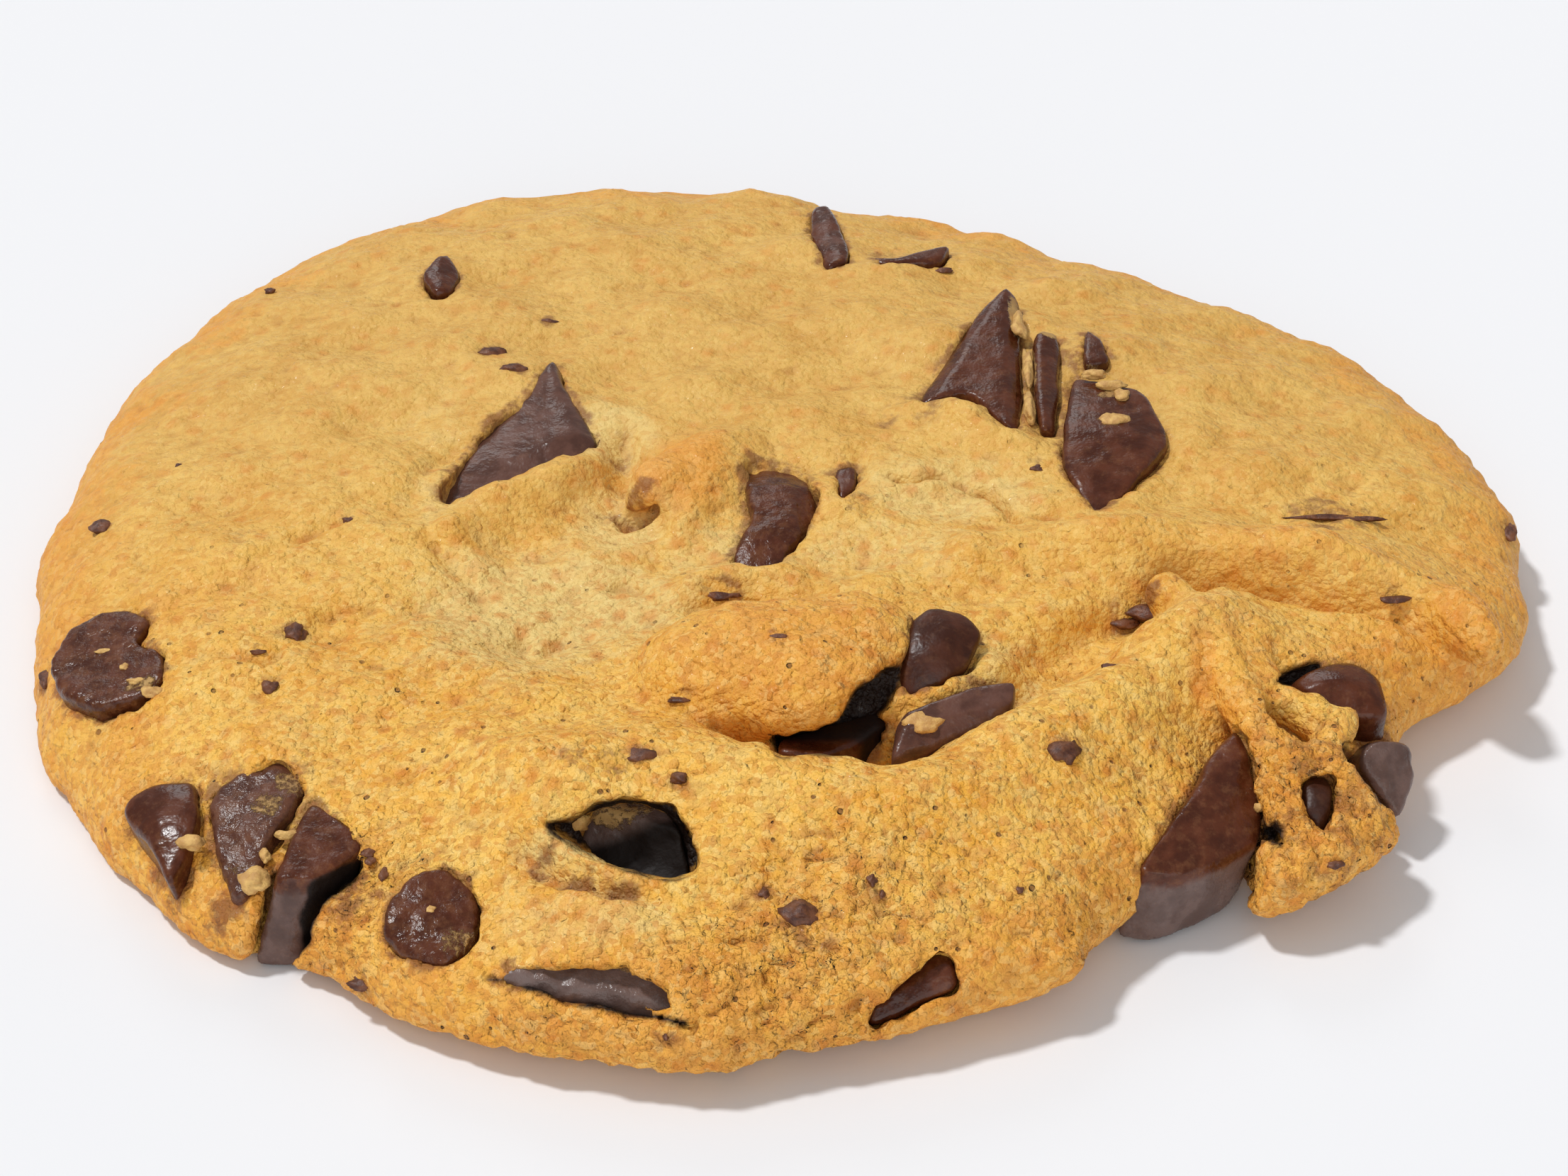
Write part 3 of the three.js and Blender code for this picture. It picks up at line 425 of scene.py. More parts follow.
PALE = [
    ((-15, -12), (10, 7), 0.9), ((-10.8, -2), (4, 6), 0.8), ((-12, 8), (3.5, 4), 0.8),
    ((-4, -6.5), (5, 4), 0.6), ((11, 0), (7, 5), 0.7), ((7, -7), (6, 4), 0.6), ((-18, -17), (6, 5), 0.6),
    ((12, -20), (6, 4), 0.5), ((-13, -38.6), (4, 1.4), 0.8), ((-12, -43.6), (6, 2.4), 0.9),
    ((-13, -40), (6, 2), 0.5), ((-22, -42), (4, 3), 0.3), ((-34, -38), (4, 3), 0.4),
    ((-23, 0), (3, 5), 0.4), ((28, -15), (4, 3), 0.4), ((-24, 9), (3, 5), 0.3),
]
# Chocolate stain, with some spots that are painted shade where creases and crevices fall in shadow.
STAINED_AND_SHADED = [
    ((16.9, 14), (0.7, 6), 1), ((20.4, 13), (0.8, 5), 0.8), ((21, 16.5), (1.6, 1.6), 0.6),
    ((6.5, 9), (1.5, 1), 0.6), ((-35.2, -31.2), (0.8, 3), 1), ((-30.9, -33.6), (0.8, 2.4), 1),
    ((-33.6, -37), (1.6, 1.2), 0.8), ((-26.2, -37.6), (1.6, 2.4), 0.7), ((-24.6, -37.8), (1, 2), 0.6),
    ((-30, -29.2), (2.2, 1.4), 0.4), ((10, 10.5), (2.4, 2), 0.6), ((1.5, -44), (2.4, 1.8), 0.4),
    ((23.3, -12.8), (2.2, 1.2), 0.6), ((5.3, -2.2), (1.2, 1.8), 0.6), ((-11, -32.5), (3, 1), 0.5),
    ((12.5, -21.8), (3, 0.7), 0.6), ((8.5, 33.6), (3.5, 1.4), 0.5), ((-14.6, -39.1), (1.1, 0.6), 0.8),
    ((-12.3, -40.8), (1.3, 0.5), 0.8), ((-9.8, -41.9), (1.5, 0.5), 0.7), ((33, -31), (5, 6), 0.36),
    # these three spots are painted shade, in the crease left of the bridge of dough and the crevice under it
    ((-11.2, 4.5), (0.8, 4), 0.4), ((-11.6, -0.8), (1.2, 1.2), 0.5), ((-9.8, -1.1), (1.5, 0.8), 0.9),
]
CRUMBLY = [
    ((-26, -38), (5, 5), 0.8), ((-1, -46.5), (7, 4), 1), ((5, -41), (7, 4), 0.7), ((33, -31), (6, 7), 0.7),
    ((-24, -40), (5, 4), 0.6), ((-10, -49), (16, 3), 0.5), ((-28, -40), (6, 2.5), 0.5),
    ((18, -41), (5, 3), 0.5),
]

GRID_LOW = (-52.6, -51.6, -0.9)
GRID_HIGH = (52.2, 52.4, 15.6)
DOUGH_STEP = 0.32
DOUGH_TRIANGLES = 196000
CHUNK_STEP = 0.2
CHUNK_TRIANGLES = 6000

# ---------------------------------------------------------------- smooth noise


class Noise:
    """Smooth random values in space, about -1 to 1, the same on each run."""

    SIZE = 32

    def __init__(self, seed):
        slopes = np.random.default_rng(seed).normal(size=(self.SIZE, self.SIZE, self.SIZE, 3))
        slopes /= np.linalg.norm(slopes, axis=-1, keepdims=True)
        self.slopes = slopes.astype(np.float32)

    def __call__(self, points, pitch):
        scaled = np.asarray(points, np.float32) / pitch
        cell = np.floor(scaled).astype(np.int32)
        part = scaled - cell
        ease = part * part * part * (part * (part * 6 - 15) + 10)
        total = np.zeros(len(scaled), np.float32)
        for corner in itertools.product((0, 1), repeat=3):
            near = (cell + corner) % self.SIZE
            slope = self.slopes[near[:, 0], near[:, 1], near[:, 2]]
            value = np.einsum("ij,ij->i", slope, part - np.array(corner, np.float32))
            weight = np.prod(np.where(corner, ease, 1 - ease), axis=1)
            total += weight * value
        return total * 1.6


NOISE = [Noise(seed) for seed in (11, 12, 13, 14)]
BITS_SEED = 5


def smooth_step(low, high, value):
    share = np.clip((value - low) / (high - low), 0, 1)
    return share * share * (3 - 2 * share)


def smooth_min(a, b, k):
    share = np.clip(0.5 + 0.5 * (b - a) / k, 0, 1)
    return b + (a - b) * share - k * share * (1 - share)


def smooth_max(a, b, k):
    return -smooth_min(-a, -b, k)


def bell(distance, width):
    return np.exp(-((distance / width) ** 2))


# ---------------------------------------------------------------- outline and heights


def outline_radius(degrees):
    radius = np.full(np.shape(degrees), MEAN_RADIUS)
    for lobes, swell, peak in OUTLINE_WAVES:
        radius = radius + swell * np.cos(np.radians(lobes * (degrees - peak)))
    for at, width, swell in OUTLINE_DENTS:
        radius = radius + swell * bell(turn_between(degrees, at), width)
    return radius


def turn_between(a, b):
    return (a - b + 180) % 360 - 180


def edge_height(degrees):
    lift = EDGE_LIFT * np.cos(np.radians(degrees - EDGE_LIFT_AT))
    return EDGE_HEIGHT + lift - EDGE_DIP * bell(turn_between(degrees, EDGE_DIP_AT), EDGE_DIP_WIDTH)


def smooth_line(knots, steps=6):
    """Points along a smooth curve through the knots."""
    knots = np.asarray(knots, float)
    ends = np.vstack([2 * knots[0] - knots[1], knots, 2 * knots[-1] - knots[-2]])
    t = np.linspace(0, 1, steps, endpoint=False)[:, None]
    spans = []
    for a, b, c, d in zip(ends[:-3], ends[1:-2], ends[2:-1], ends[3:]):
        square = (2 * a - 5 * b + 4 * c - d) * t**2
        spans.append(0.5 * (2 * b + (c - a) * t + square + (3 * b - a - 3 * c + d) * t**3))
    return np.vstack(spans + [knots[-1:]])


def line_distance(points, path):
    """Distance of each point to a line of chords, and how far along it that is, from 0 to 1."""
    least = np.full(len(points), np.inf)
    along = np.zeros(len(points))
    for i, (start, end) in enumerate(zip(path[:-1], path[1:])):
        chord = end - start
        share = np.clip((points - start) @ chord / (chord @ chord), 0, 1)
        distance = np.linalg.norm(points - start - share[:, None] * chord, axis=1)
        nearer = distance < least
        least = np.where(nearer, distance, least)
        along = np.where(nearer, (i + share) / (len(path) - 1), along)
    return least, along


class Grid:
    """Sample points at equal steps in a box round the cookie, or over the box's plan."""

    def __init__(self, step, low=GRID_LOW, high=GRID_HIGH):
        self.step = step
        self.low = np.array(low)
        self.axes = [np.arange(a, b, step, dtype=np.float32) for a, b in zip(low, high)]
        self.shape = tuple(len(axis) for axis in self.axes)

    def window(self, low, high):
        """The part of the grid inside a box, and its points."""
        first = [int(np.clip((a - b) / self.step, 0, n - 1)) for a, b, n in zip(low, self.low, self.shape)]
        last = [int(np.clip((a - b) / self.step + 2, 1, n)) for a, b, n in zip(high, self.low, self.shape)]
        part = tuple(slice(a, b) for a, b in zip(first, last))
        axes = [axis[s] for axis, s in zip(self.axes, part)]
        points = np.stack(np.meshgrid(*axes, indexing="ij"), axis=-1)
        return part, points.reshape(-1, len(axes)), points.shape[:-1]

    def around(self, at, reach):
        return self.window(np.array(at) - reach, np.array(at) + reach)


def add_lines(height, grid, rows, fade=0):
    """Adds ridges and furrows along smooth lines to a map of heights."""
    for rise, width, line in rows:
        path = smooth_line(line)
        reach = 3 * width
        part, points, shape = grid.window(path.min(0) - reach, path.max(0) + reach)
        distance, along = line_distance(points, path)
        taper = smooth_step(0, fade, along) * smooth_step(0, fade, 1 - along) if fade else 1
        height[part] += (rise * bell(distance, width) * taper).reshape(shape)


def broad_heights(grid):
    """Height of the top before it rounds off at the edge, over the whole grid."""
    x, y = np.meshgrid(grid.axes[0], grid.axes[1], indexing="ij")
    height = CENTRE_HEIGHT - FRONT_RISE * y
    for (at_x, at_y), (reach_x, reach_y), rise, steep in MOUNDS:
        away = np.hypot((x - at_x) / reach_x, (y - at_y) / reach_y)
        height += rise * bell(away**2 if steep else away, 1)
    for rise, pitch, toward, start in WAVES:
        direction = math.radians(toward)
        along = x * math.cos(direction) + y * math.sin(direction)
        height += rise * np.sin(2 * math.pi * along / pitch + start)
    plan = Grid(grid.step, GRID_LOW[:2], GRID_HIGH[:2])
    add_lines(height, plan, FOLDS)
    add_lines(height, plan, CREASES, fade=0.25)
    return height


def body_field(grid):
    """Distance to the plain round body, negative inside."""
    x, y = np.meshgrid(grid.axes[0], grid.axes[1], indexing="ij")
    degrees = np.degrees(np.arctan2(y, x))
    radius = outline_radius(degrees)
    share = np.hypot(x, y) / radius
    edge = edge_height(degrees)
    broad = broad_heights(grid)
    lean = np.hypot(*np.gradient(broad, grid.step))
    field = np.empty(grid.shape, np.float32)
    for k, z in enumerate(grid.axes[2]):
        rise = np.maximum((z - edge) / (broad - edge), 0)
        top = share**DOME_POWER + rise**EDGE_POWER - 1
        out = DOME_POWER * share ** (DOME_POWER - 1) / radius
        up = EDGE_POWER * rise ** (EDGE_POWER - 1) / (broad - edge)
        top /= np.sqrt(out**2 + up**2 * (1 + (rise * lean) ** 2)) + 1e-4
        foot = np.maximum(share - FLAT_SHARE, 0) / (1 - FLAT_SHARE)
        drop = (edge - z) / edge
        under = foot + drop**2 - 1
        under /= np.hypot(np.where(foot > 0, 1 / (1 - FLAT_SHARE) / radius, 0), 2 * drop / edge) + 1e-4
        field[:, :, k] = np.clip(np.where(z > edge, top, under), -4, 4)
    return field


# ---------------------------------------------------------------- simple solids as distances


def turn_matrix(tip_x, tip_y, turn_z=0):
    ax, ay, az = (math.radians(a) for a in (tip_x, tip_y, turn_z))
    about_x = np.array([[1, 0, 0], [0, math.cos(ax), -math.sin(ax)], [0, math.sin(ax), math.cos(ax)]])
    about_y = np.array([[math.cos(ay), 0, math.sin(ay)], [0, 1, 0], [-math.sin(ay), 0, math.cos(ay)]])
    about_z = np.array([[math.cos(az), -math.sin(az), 0], [math.sin(az), math.cos(az), 0], [0, 0, 1]])
    return about_z @ about_y @ about_x


def close_to(points, at, reach):
    """Which points lie in a box round a place."""
    return np.flatnonzero(np.abs(points - np.array(at)).max(axis=1) < reach)


def ellipsoid_distance(points, at, half, turn):
    local = (points - np.array(at)) @ turn_matrix(0, 0, turn)
    near = np.linalg.norm(local / half, axis=1)
    steep = np.linalg.norm(local / np.square(half), axis=1) + 1e-6
    return near * (near - 1) / steep


def outline_distance(u, v, outline):
    """Distance to a closed flat outline, negative inside."""
    least = np.full(len(u), np.inf)
    inside = np.zeros(len(u), bool)
    corners = np.asarray(outline, float)
    for (u0, v0), (u1, v1) in zip(corners, np.roll(corners, -1, axis=0)):
        du, dv = u1 - u0, v1 - v0
        share = np.clip(((u - u0) * du + (v - v0) * dv) / (du * du + dv * dv), 0, 1)
        least = np.minimum(least, np.hypot(u - u0 - share * du, v - v0 - share * dv))
        if v0 != v1:
            inside ^= ((v0 > v) != (v1 > v)) & (u < (v - v0) * du / dv + u0)
    return np.where(inside, -least, least)


def cut_corners(outline, share=0.16):
    """The outline with each corner cut off twice, so that it is nearly round there."""
    corners = np.asarray(outline, float)
    for _ in range(2):
        after = np.roll(corners, -1, axis=0)
        corners = np.stack([corners + share * (after - corners), after - share * (after - corners)], 1)
        corners = corners.reshape(-1, 2)
    return corners


# ---------------------------------------------------------------- surfaces of fields


def surface_net(field, low, step):
    """Points and four-sided faces of the surface where the field is zero."""
    inside = field < 0
    cells = tuple(n - 1 for n in field.shape)
    count = np.zeros(cells, np.int8)
    for i, j, k in itertools.product((0, 1), repeat=3):
        count += inside[i : i + cells[0], j : j + cells[1], k : k + cells[2]]
    mixed = (count > 0) & (count < 8)
    where = np.argwhere(mixed)
    number = np.full(cells, -1, np.int32)
    number[mixed] = np.arange(len(where), dtype=np.int32)
    corner = {}
    for offset in itertools.product((0, 1), repeat=3):
        i, j, k = (where + offset).T
        corner[offset] = field[i, j, k]
    total = np.zeros((len(where), 3))
    hits = np.zeros(len(where))
    for axis in range(3):
        for offset in itertools.product((0, 1), repeat=3):
            if offset[axis]:
                continue
            other = tuple(1 if i == axis else offset[i] for i in range(3))
            a, b = corner[offset], corner[other]
            crosses = (a < 0) != (b < 0)
            share = np.where(crosses, a / np.where(crosses, a - b, 1), 0)
            place = np.tile(np.array(offset, float), (len(where), 1))
            place[:, axis] = share
            total += place * crosses[:, None]
            hits += crosses
    points = np.asarray(low) + step * (where + total / hits[:, None])
    faces = []
    for axis in range(3):
        second, third = (axis + 1) % 3, (axis + 2) % 3
        start = [slice(None)] * 3
        start[axis], start[second], start[third] = slice(0, -1), slice(1, -1), slice(1, -1)
        end = list(start)
        end[axis] = slice(1, None)
        first = inside[tuple(start)]
        crosses = np.argwhere(first != inside[tuple(end)])
        grows = first[tuple(crosses.T)]
        crosses = crosses + np.array([0 if i == axis else 1 for i in range(3)])
        ring = []
        for back_second, back_third in ((1, 1), (0, 1), (0, 0), (1, 0)):
            cell = crosses.copy()
            cell[:, second] -= back_second
            cell[:, third] -= back_third
            ring.append(number[tuple(cell.T)])
        quads = np.stack(ring, axis=1)
        faces.append(np.where(grows[:, None], quads, quads[:, ::-1]))
    return points, np.vstack(faces)


def make_mesh(name, points, faces):
    """A mesh of four-sided or three-sided faces, from points in mm."""
    mesh = bpy.data.meshes.new(name)
    sides = faces.shape[1]
    mesh.vertices.add(len(points))
    mesh.vertices.foreach_set("co", (np.asarray(points, np.float32) * MM).ravel())
    mesh.loops.add(faces.size)
    mesh.loops.foreach_set("vertex_index", faces.astype(np.int32).ravel())
    mesh.polygons.add(len(faces))
    mesh.polygons.foreach_set("loop_start", np.arange(0, faces.size, sides, dtype=np.int32))
    mesh.update(calc_edges=True)
    mesh.validate()
    return mesh


def mesh_points(mesh):
    points = np.empty(len(mesh.vertices) * 3, np.float32)
    mesh.vertices.foreach_get("co", points)
    return points.reshape(-1, 3) / MM


def mesh_normals(mesh):
    normals = np.empty(len(mesh.vertices) * 3, np.float32)
    mesh.vertex_normals.foreach_get("vector", normals)
    return normals.reshape(-1, 3)


def set_points(mesh, points):
    mesh.vertices.foreach_set("co", (np.asarray(points, np.float32) * MM).ravel())
    mesh.update()


def set_mask(mesh, name, values):
    layer = mesh.attributes.get(name) or mesh.attributes.new(name, "FLOAT", "POINT")
    layer.data.foreach_set("value", np.clip(values, 0, 1).astype(np.float32))


def thinned(obj, triangles):
    """Joins up faces where the surface is flattest, down to a number of triangles."""
    now = sum(len(face.vertices) - 2 for face in obj.data.polygons)
    modifier = obj.modifiers.new("thin", "DECIMATE")
    modifier.ratio = min(1.0, triangles / now)
    apply_modifiers(obj)


def apply_modifiers(obj):
    bpy.context.view_layer.update()
    ready = obj.evaluated_get(bpy.context.evaluated_depsgraph_get())
    mesh = bpy.data.meshes.new_from_object(ready)
    obj.modifiers.clear()
    obj.data = mesh


def make_object(name, mesh, material):
    obj = bpy.data.objects.new(name, mesh)
    bpy.context.scene.collection.objects.link(obj)
    mesh.materials.clear()
    mesh.materials.append(material)
    return obj


# ---------------------------------------------------------------- dough


def torn_edge(points):
    return 0.3 * NOISE[0](points, 1.9) + 0.15 * NOISE[1](points, 0.8)


def pocket_distance(points, chunk):
    """Distance to the room over a chunk: its outline with a torn edge, open above and outward."""
    at, turn = chunk.frame()
    grow, depth, reach, toward = chunk.seat
    torn = torn_edge(points)
    outward = np.array([math.cos(math.radians(toward)), math.sin(math.radians(toward)), 0])
    mouth = np.array([0, -SEAT_LEAN, 1]) @ turn
    least = np.inf
    for shift in np.linspace(0, reach, 5 if reach else 1):
        local = chunk.leaned((points - at - shift * outward) @ turn)
        local -= np.maximum(local[:, 2:], 0) / mouth[2] * (mouth * (1, 1, 0)) + (*SEAT_SHIFT, 0)
        side = chunk.edge_distance(local[:, 0], local[:, 1]) - grow + torn
        least = np.minimum(least, smooth_max(side, -depth - local[:, 2], 0.35))
    return least


def cleft_distance(points, cleft):
    at, depth, dark, outline = cleft
    local = (points - np.array(at)) @ turn_matrix(*CLEFT_TIP)
    side = outline_distance(local[:, 0], local[:, 1], cut_corners(outline)) + 0.6 * torn_edge(points)
    return side, -depth - local[:, 2]


def dough_field(grid):
    field = body_field(grid)
    for at, half, turn, soft in LUMPS:
        part, points, shape = grid.around(at, max(half) + 2.5)
        lump = ellipsoid_distance(points, at, half, turn).reshape(shape)
        field[part] = smooth_min(field[part], lump, soft)
    for radius, soft, line in STRANDS:
        path = smooth_line(line)
        part, points, shape = grid.window(path.min(0) - radius - 2, path.max(0) + radius + 2)
        strand = (line_distance(points, path)[0] - radius).reshape(shape)
        field[part] = smooth_min(field[part], strand, soft)
    for at, half, turn, soft, dark in HOLLOWS:
        part, points, shape = grid.around(at, max(half) + 2.5)
        hollow = ellipsoid_distance(points, at, half, turn).reshape(shape)
        field[part] = smooth_max(field[part], -hollow, soft)
    for chunk in CHUNKS:
        reach = chunk.reach() + 4.5 + chunk.seat[2]
        low = np.array(chunk.at) - (reach, reach, chunk.thick + 3)
        high = np.array(chunk.at) + (reach, reach, 5)
        part, points, shape = grid.window(low, high)
        pocket = pocket_distance(points, chunk).reshape(shape)
        field[part] = smooth_max(field[part], -pocket, 0.3)
    for cleft in CLEFTS:
        at, depth, dark, outline = cleft
        part, points, shape = grid.around(at, np.abs(np.asarray(outline)).max() + depth + 3)
        side, under = cleft_distance(points, cleft)
        field[part] = smooth_max(field[part], -smooth_max(side, under, 0.3).reshape(shape), 0.2)
    return field


def roughen(points, normals):
    """Moves the skin of the dough in and out by its fine relief."""
    crumbly = spots(points, CRUMBLY)
    crack = crumbly * smooth_step(0.13, 0.0, np.abs(NOISE[2](points, 2.3)))
    away = 0.16 * NOISE[3](points, 5.2) - 0.35 * crack
    away += 0.16 * NOISE[0](points, 2.6)
    away += (0.13 + 0.12 * crumbly) * NOISE[1](points, 1.35)
    away += (0.10 + 0.12 * crumbly) * NOISE[2](points, 0.75)
    away -= (0.1 + 0.5 * crumbly) * smooth_step(0.35, 0.75, NOISE[3](points, 1.7))
    away *= smooth_step(0.05, 0.6, points[:, 2])
    return points + normals * away[:, None]


def spots(points, rows):
    """How strongly a list of soft round spots covers each point, from 0 to 1."""
    total = np.zeros(len(points))
    for (x, y), (reach_x, reach_y), strength in rows:
        away = np.hypot((points[:, 0] - x) / reach_x, (points[:, 1] - y) / reach_y)
        total = np.maximum(total, strength * bell(away**2, 1.0))
    return total


def bulge(mesh, rounds):
    """How far each point stands out over its smoothed surroundings, in mm."""
    points = mesh_points(mesh).astype(float)
    pairs = np.empty(len(mesh.edges) * 2, np.int32)
    mesh.edges.foreach_get("vertices", pairs)
    a, b = pairs.reshape(-1, 2).T
    count = len(points)
    near = np.bincount(a, minlength=count) + np.bincount(b, minlength=count)
    smooth = points.copy()
    for _ in range(rounds):
        for axis in range(3):
            total = np.bincount(a, smooth[b, axis], count) + np.bincount(b, smooth[a, axis], count)
            smooth[:, axis] = 0.4 * smooth[:, axis] + 0.6 * total / np.maximum(near, 1)
    return np.einsum("ij,ij->i", points - smooth, mesh_normals(mesh))


def shade_inside(points):
    """How dark it is in the hollows, from 0 to 1."""
    total = np.zeros(len(points))
    for at, half, turn, soft, dark in HOLLOWS:
        near = close_to(points, at, max(half) + 2)
        away = ellipsoid_distance(points[near], at, half, turn)
        deep = smooth_step(0.0, 0.9, at[2] + half[2] - points[near, 2] - 0.2)
        total[near] = np.maximum(total[near], dark * smooth_step(0.55, 0.1, away) * deep)
    for cleft in CLEFTS:
        at, depth, dark, outline = cleft
        near = close_to(points, at, depth + 6)
        side, under = cleft_distance(points[near], cleft)
        total[near] = np.maximum(total[near], dark * smooth_step(0.14, -0.12, side) * (under < 1))
    return total


def chocolate_distance(points):
    """How far each point is from the nearest chunk of chocolate, up to 3 mm."""
    least = np.full(len(points), 3.0)
    for chunk in CHUNKS:
        at, turn = chunk.frame()
        near = close_to(points, at, chunk.reach() + 3)
        local = (points[near] - at) @ turn
        side = np.maximum(chunk.edge_distance(local[:, 0], local[:, 1]), 0)
        over = np.maximum(np.maximum(local[:, 2], -chunk.thick - local[:, 2]), 0)
        least[near] = np.minimum(least[near], np.hypot(side, over))
    for at, half in FLECKS:
        near = close_to(points, at, 3)
        away = np.linalg.norm(points[near] - np.array(at), axis=1) - max(half)
        least[near] = np.minimum(least[near], 0.4 + np.maximum(away, 0))
    return least


def make_dough(material):
    grid = Grid(DOUGH_STEP)
    points, faces = surface_net(dough_field(grid), grid.low, grid.step)
    dough = make_object("dough_body", make_mesh("dough_body", points, faces), material)
    thinned(dough, DOUGH_TRIANGLES)
    mesh = dough.data
    points = mesh_points(mesh)
    set_points(mesh, roughen(points, mesh_normals(mesh)))
    mesh.polygons.foreach_set("use_smooth", np.ones(len(mesh.polygons), bool))
    paint_dough(mesh)
    return dough


def paint_dough(mesh):
    """Masks for the dough's colours, one value for each point."""
    points = mesh_points(mesh)
    x, y, z = points.T
    degrees = np.degrees(np.arctan2(y, x))
    share = np.hypot(x, y) / outline_radius(degrees)
    broad = bulge(mesh, 40)
    fine = bulge(mesh, 5)
    wobble = 0.12 * NOISE[0](points, 6.0) + 0.08 * NOISE[1](points, 2.4)
    rim = smooth_step(0.80, 1.0, share + 0.5 * wobble)
    brown = np.maximum(0.75 * rim, spots(points, TOASTED)) + 0.5 * wobble
    brown += 0.9 * smooth_step(0.1, 0.9, broad) - 0.8 * smooth_step(-0.1, -0.8, broad)
    pale = spots(points, PALE) + wobble + 0.7 * smooth_step(-0.15, -1.0, broad)
    # chocolate stain round each chunk; where a seat leaves a thin gap, this also darkens it as painted shade
    stain_and_shade = bell(chocolate_distance(points) - 0.1, 0.45)
    stain_and_shade = np.maximum(0.75 * stain_and_shade, spots(points, STAINED_AND_SHADED) * (1 + 3 * wobble))
    set_mask(mesh, "brown", brown)
    set_mask(mesh, "pale", pale * (1 - 0.7 * rim))
    set_mask(mesh, "stain_and_shade", stain_and_shade)
    set_mask(mesh, "crumbly", spots(points, CRUMBLY))
    set_mask(mesh, "high", 0.5 + 2.2 * fine)
    set_mask(mesh, "near", smooth_step(20, -35, y))
    set_mask(mesh, "shade", shade_inside(points))


# ---------------------------------------------------------------- chocolate


def chunk_field(chunk):
    """Distance to a chunk on its own grid of points, and where that grid begins."""
    corners = np.asarray(chunk.outline, float)
    foot = chunk.thick * np.array(chunk.lean)
    low = np.array([*corners.min(0) + np.minimum(foot, 0) - 0.8, -chunk.thick - 0.8])
    high = np.array([*corners.max(0) + np.maximum(foot, 0) + 0.8, 1.2])
    axes = [np.arange(a, b + CHUNK_STEP, CHUNK_STEP) for a, b in zip(low, high)]
    points = np.stack(np.meshgrid(*axes, indexing="ij"), axis=-1)
    shape = points.shape[:-1]
    points = points.reshape(-1, 3)
    seed = points + 7.3 * np.array(chunk.at)
    u, v, w = chunk.leaned(points).T
    side = chunk.edge_distance(u, v) + 0.12 * NOISE[2](seed, 2.1)
    top = w - RIDGE_LIFT - 0.1 * NOISE[3](seed * (1, 1, 0), 2.8) + chunk.dome * (u**2 + v**2)
    for (from_u, from_v), toward, slope in chunk.facets:
        direction = math.radians(toward)
        beyond = (u - from_u) * math.cos(direction) + (v - from_v) * math.sin(direction)
        most = chunk.most_drop
        drop = np.where(beyond > 0, most * (1 - np.exp(-slope * beyond / most)), slope * beyond)
        top = smooth_max(top, (w - RIDGE_LIFT + drop) / math.hypot(1, slope), 0.12)
    field = smooth_max(side, top, 0.45)
    field = smooth_max(field, -chunk.thick - w, 0.5)
    return field.reshape(shape), low


def make_chunk(chunk, material):
    field, low = chunk_field(chunk)
    local, faces = surface_net(field, low, CHUNK_STEP)
    at, turn = chunk.frame()
    mesh = make_mesh(chunk.name + "_body", local @ turn.T + at, faces)
    piece = make_object(mesh.name, mesh, material)
    thinned(piece, CHUNK_TRIANGLES)
    mesh = piece.data
    points = mesh_points(mesh)
    away = 0.16 * NOISE[1](points, 1.5) + 0.12 * NOISE[2](points, 0.7)
    set_points(mesh, points + mesh_normals(mesh) * (chunk.rough * away)[:, None])
    mesh.polygons.foreach_set("use_smooth", np.ones(len(mesh.polygons), bool))
    local = (points - at) @ turn
    rim = chunk.edge_distance(local[:, 0], local[:, 1])
    set_mask(mesh, "rough", np.full(len(points), chunk.rough))
    set_mask(mesh, "smear", spots(points, SMEARS) * smooth_step(-1.2, -0.4, local[:, 2]))
    dark, first, last = chunk.shade
    shade = dark * smooth_step(first - 0.4, first + 0.4, local[:, 1])
    shade *= smooth_step(last + 0.4, last - 0.4, local[:, 1])
    if chunk.in_cleft:
        shade = np.maximum(shade, shade_inside(points))
    set_mask(mesh, "shade", shade)
    # painted sheen: the grey reflection of the pale floor, below the given height
    painted_sheen, below = chunk.painted_sheen
    set_mask(mesh, "painted_sheen", painted_sheen * smooth_step(below + 0.15, below - 0.15, local[:, 2]))
    set_mask(mesh, "rim", smooth_step(-0.9, 0.1, rim + 0.5 * NOISE[0](points, 1.6)))
    return piece


# ---------------------------------------------------------------- flecks and crumbs


def make_bits(name, rows, material):
    """One mesh of many small uneven lumps."""
    build = bmesh.new()
    random = np.random.default_rng(BITS_SEED)
    for at, half in rows:
        half = np.array([*half, 0.5 * min(half) + 0.05]) if len(half) == 2 else np.array(half)
        ball = bmesh.ops.create_icosphere(build, subdivisions=3, radius=1)["verts"]
        points = np.array([v.co for v in ball])
        shift = random.uniform(-40, 40, 3)
        size = 1 + 0.5 * NOISE[0](points + shift, 1.1) + 0.3 * NOISE[1](points + shift, 0.5)
        for vert, point in zip(ball, points * size[:, None] * half + at):
            vert.co = Vector(point * MM)
    mesh = bpy.data.meshes.new(name)
    build.to_mesh(mesh)
    build.free()
    mesh.polygons.foreach_set("use_smooth", np.ones(len(mesh.polygons), bool))
    return make_object(name, mesh, material)


# ---------------------------------------------------------------- materials

# Colours as they look on screen, 0 to 255. A pair is the two tones of one thing.
DOUGH_FAR = ((222, 174, 88), (214, 162, 76))
DOUGH_NEAR = ((250, 192, 80), (242, 174, 58))
DOUGH_LIGHT = (250, 212, 118)
DOUGH_PALE = (236, 205, 128)
DOUGH_BROWN = (236, 156, 54)
DOUGH_SPOT = (218, 128, 36)
DOUGH_DARK_GRAIN = (204, 122, 38)
DOUGH_LIGHT_GRAIN = (255, 232, 160)
# painted shade for the dips in the skin of the dough
DOUGH_DIP_SHADE = (162, 92, 28)
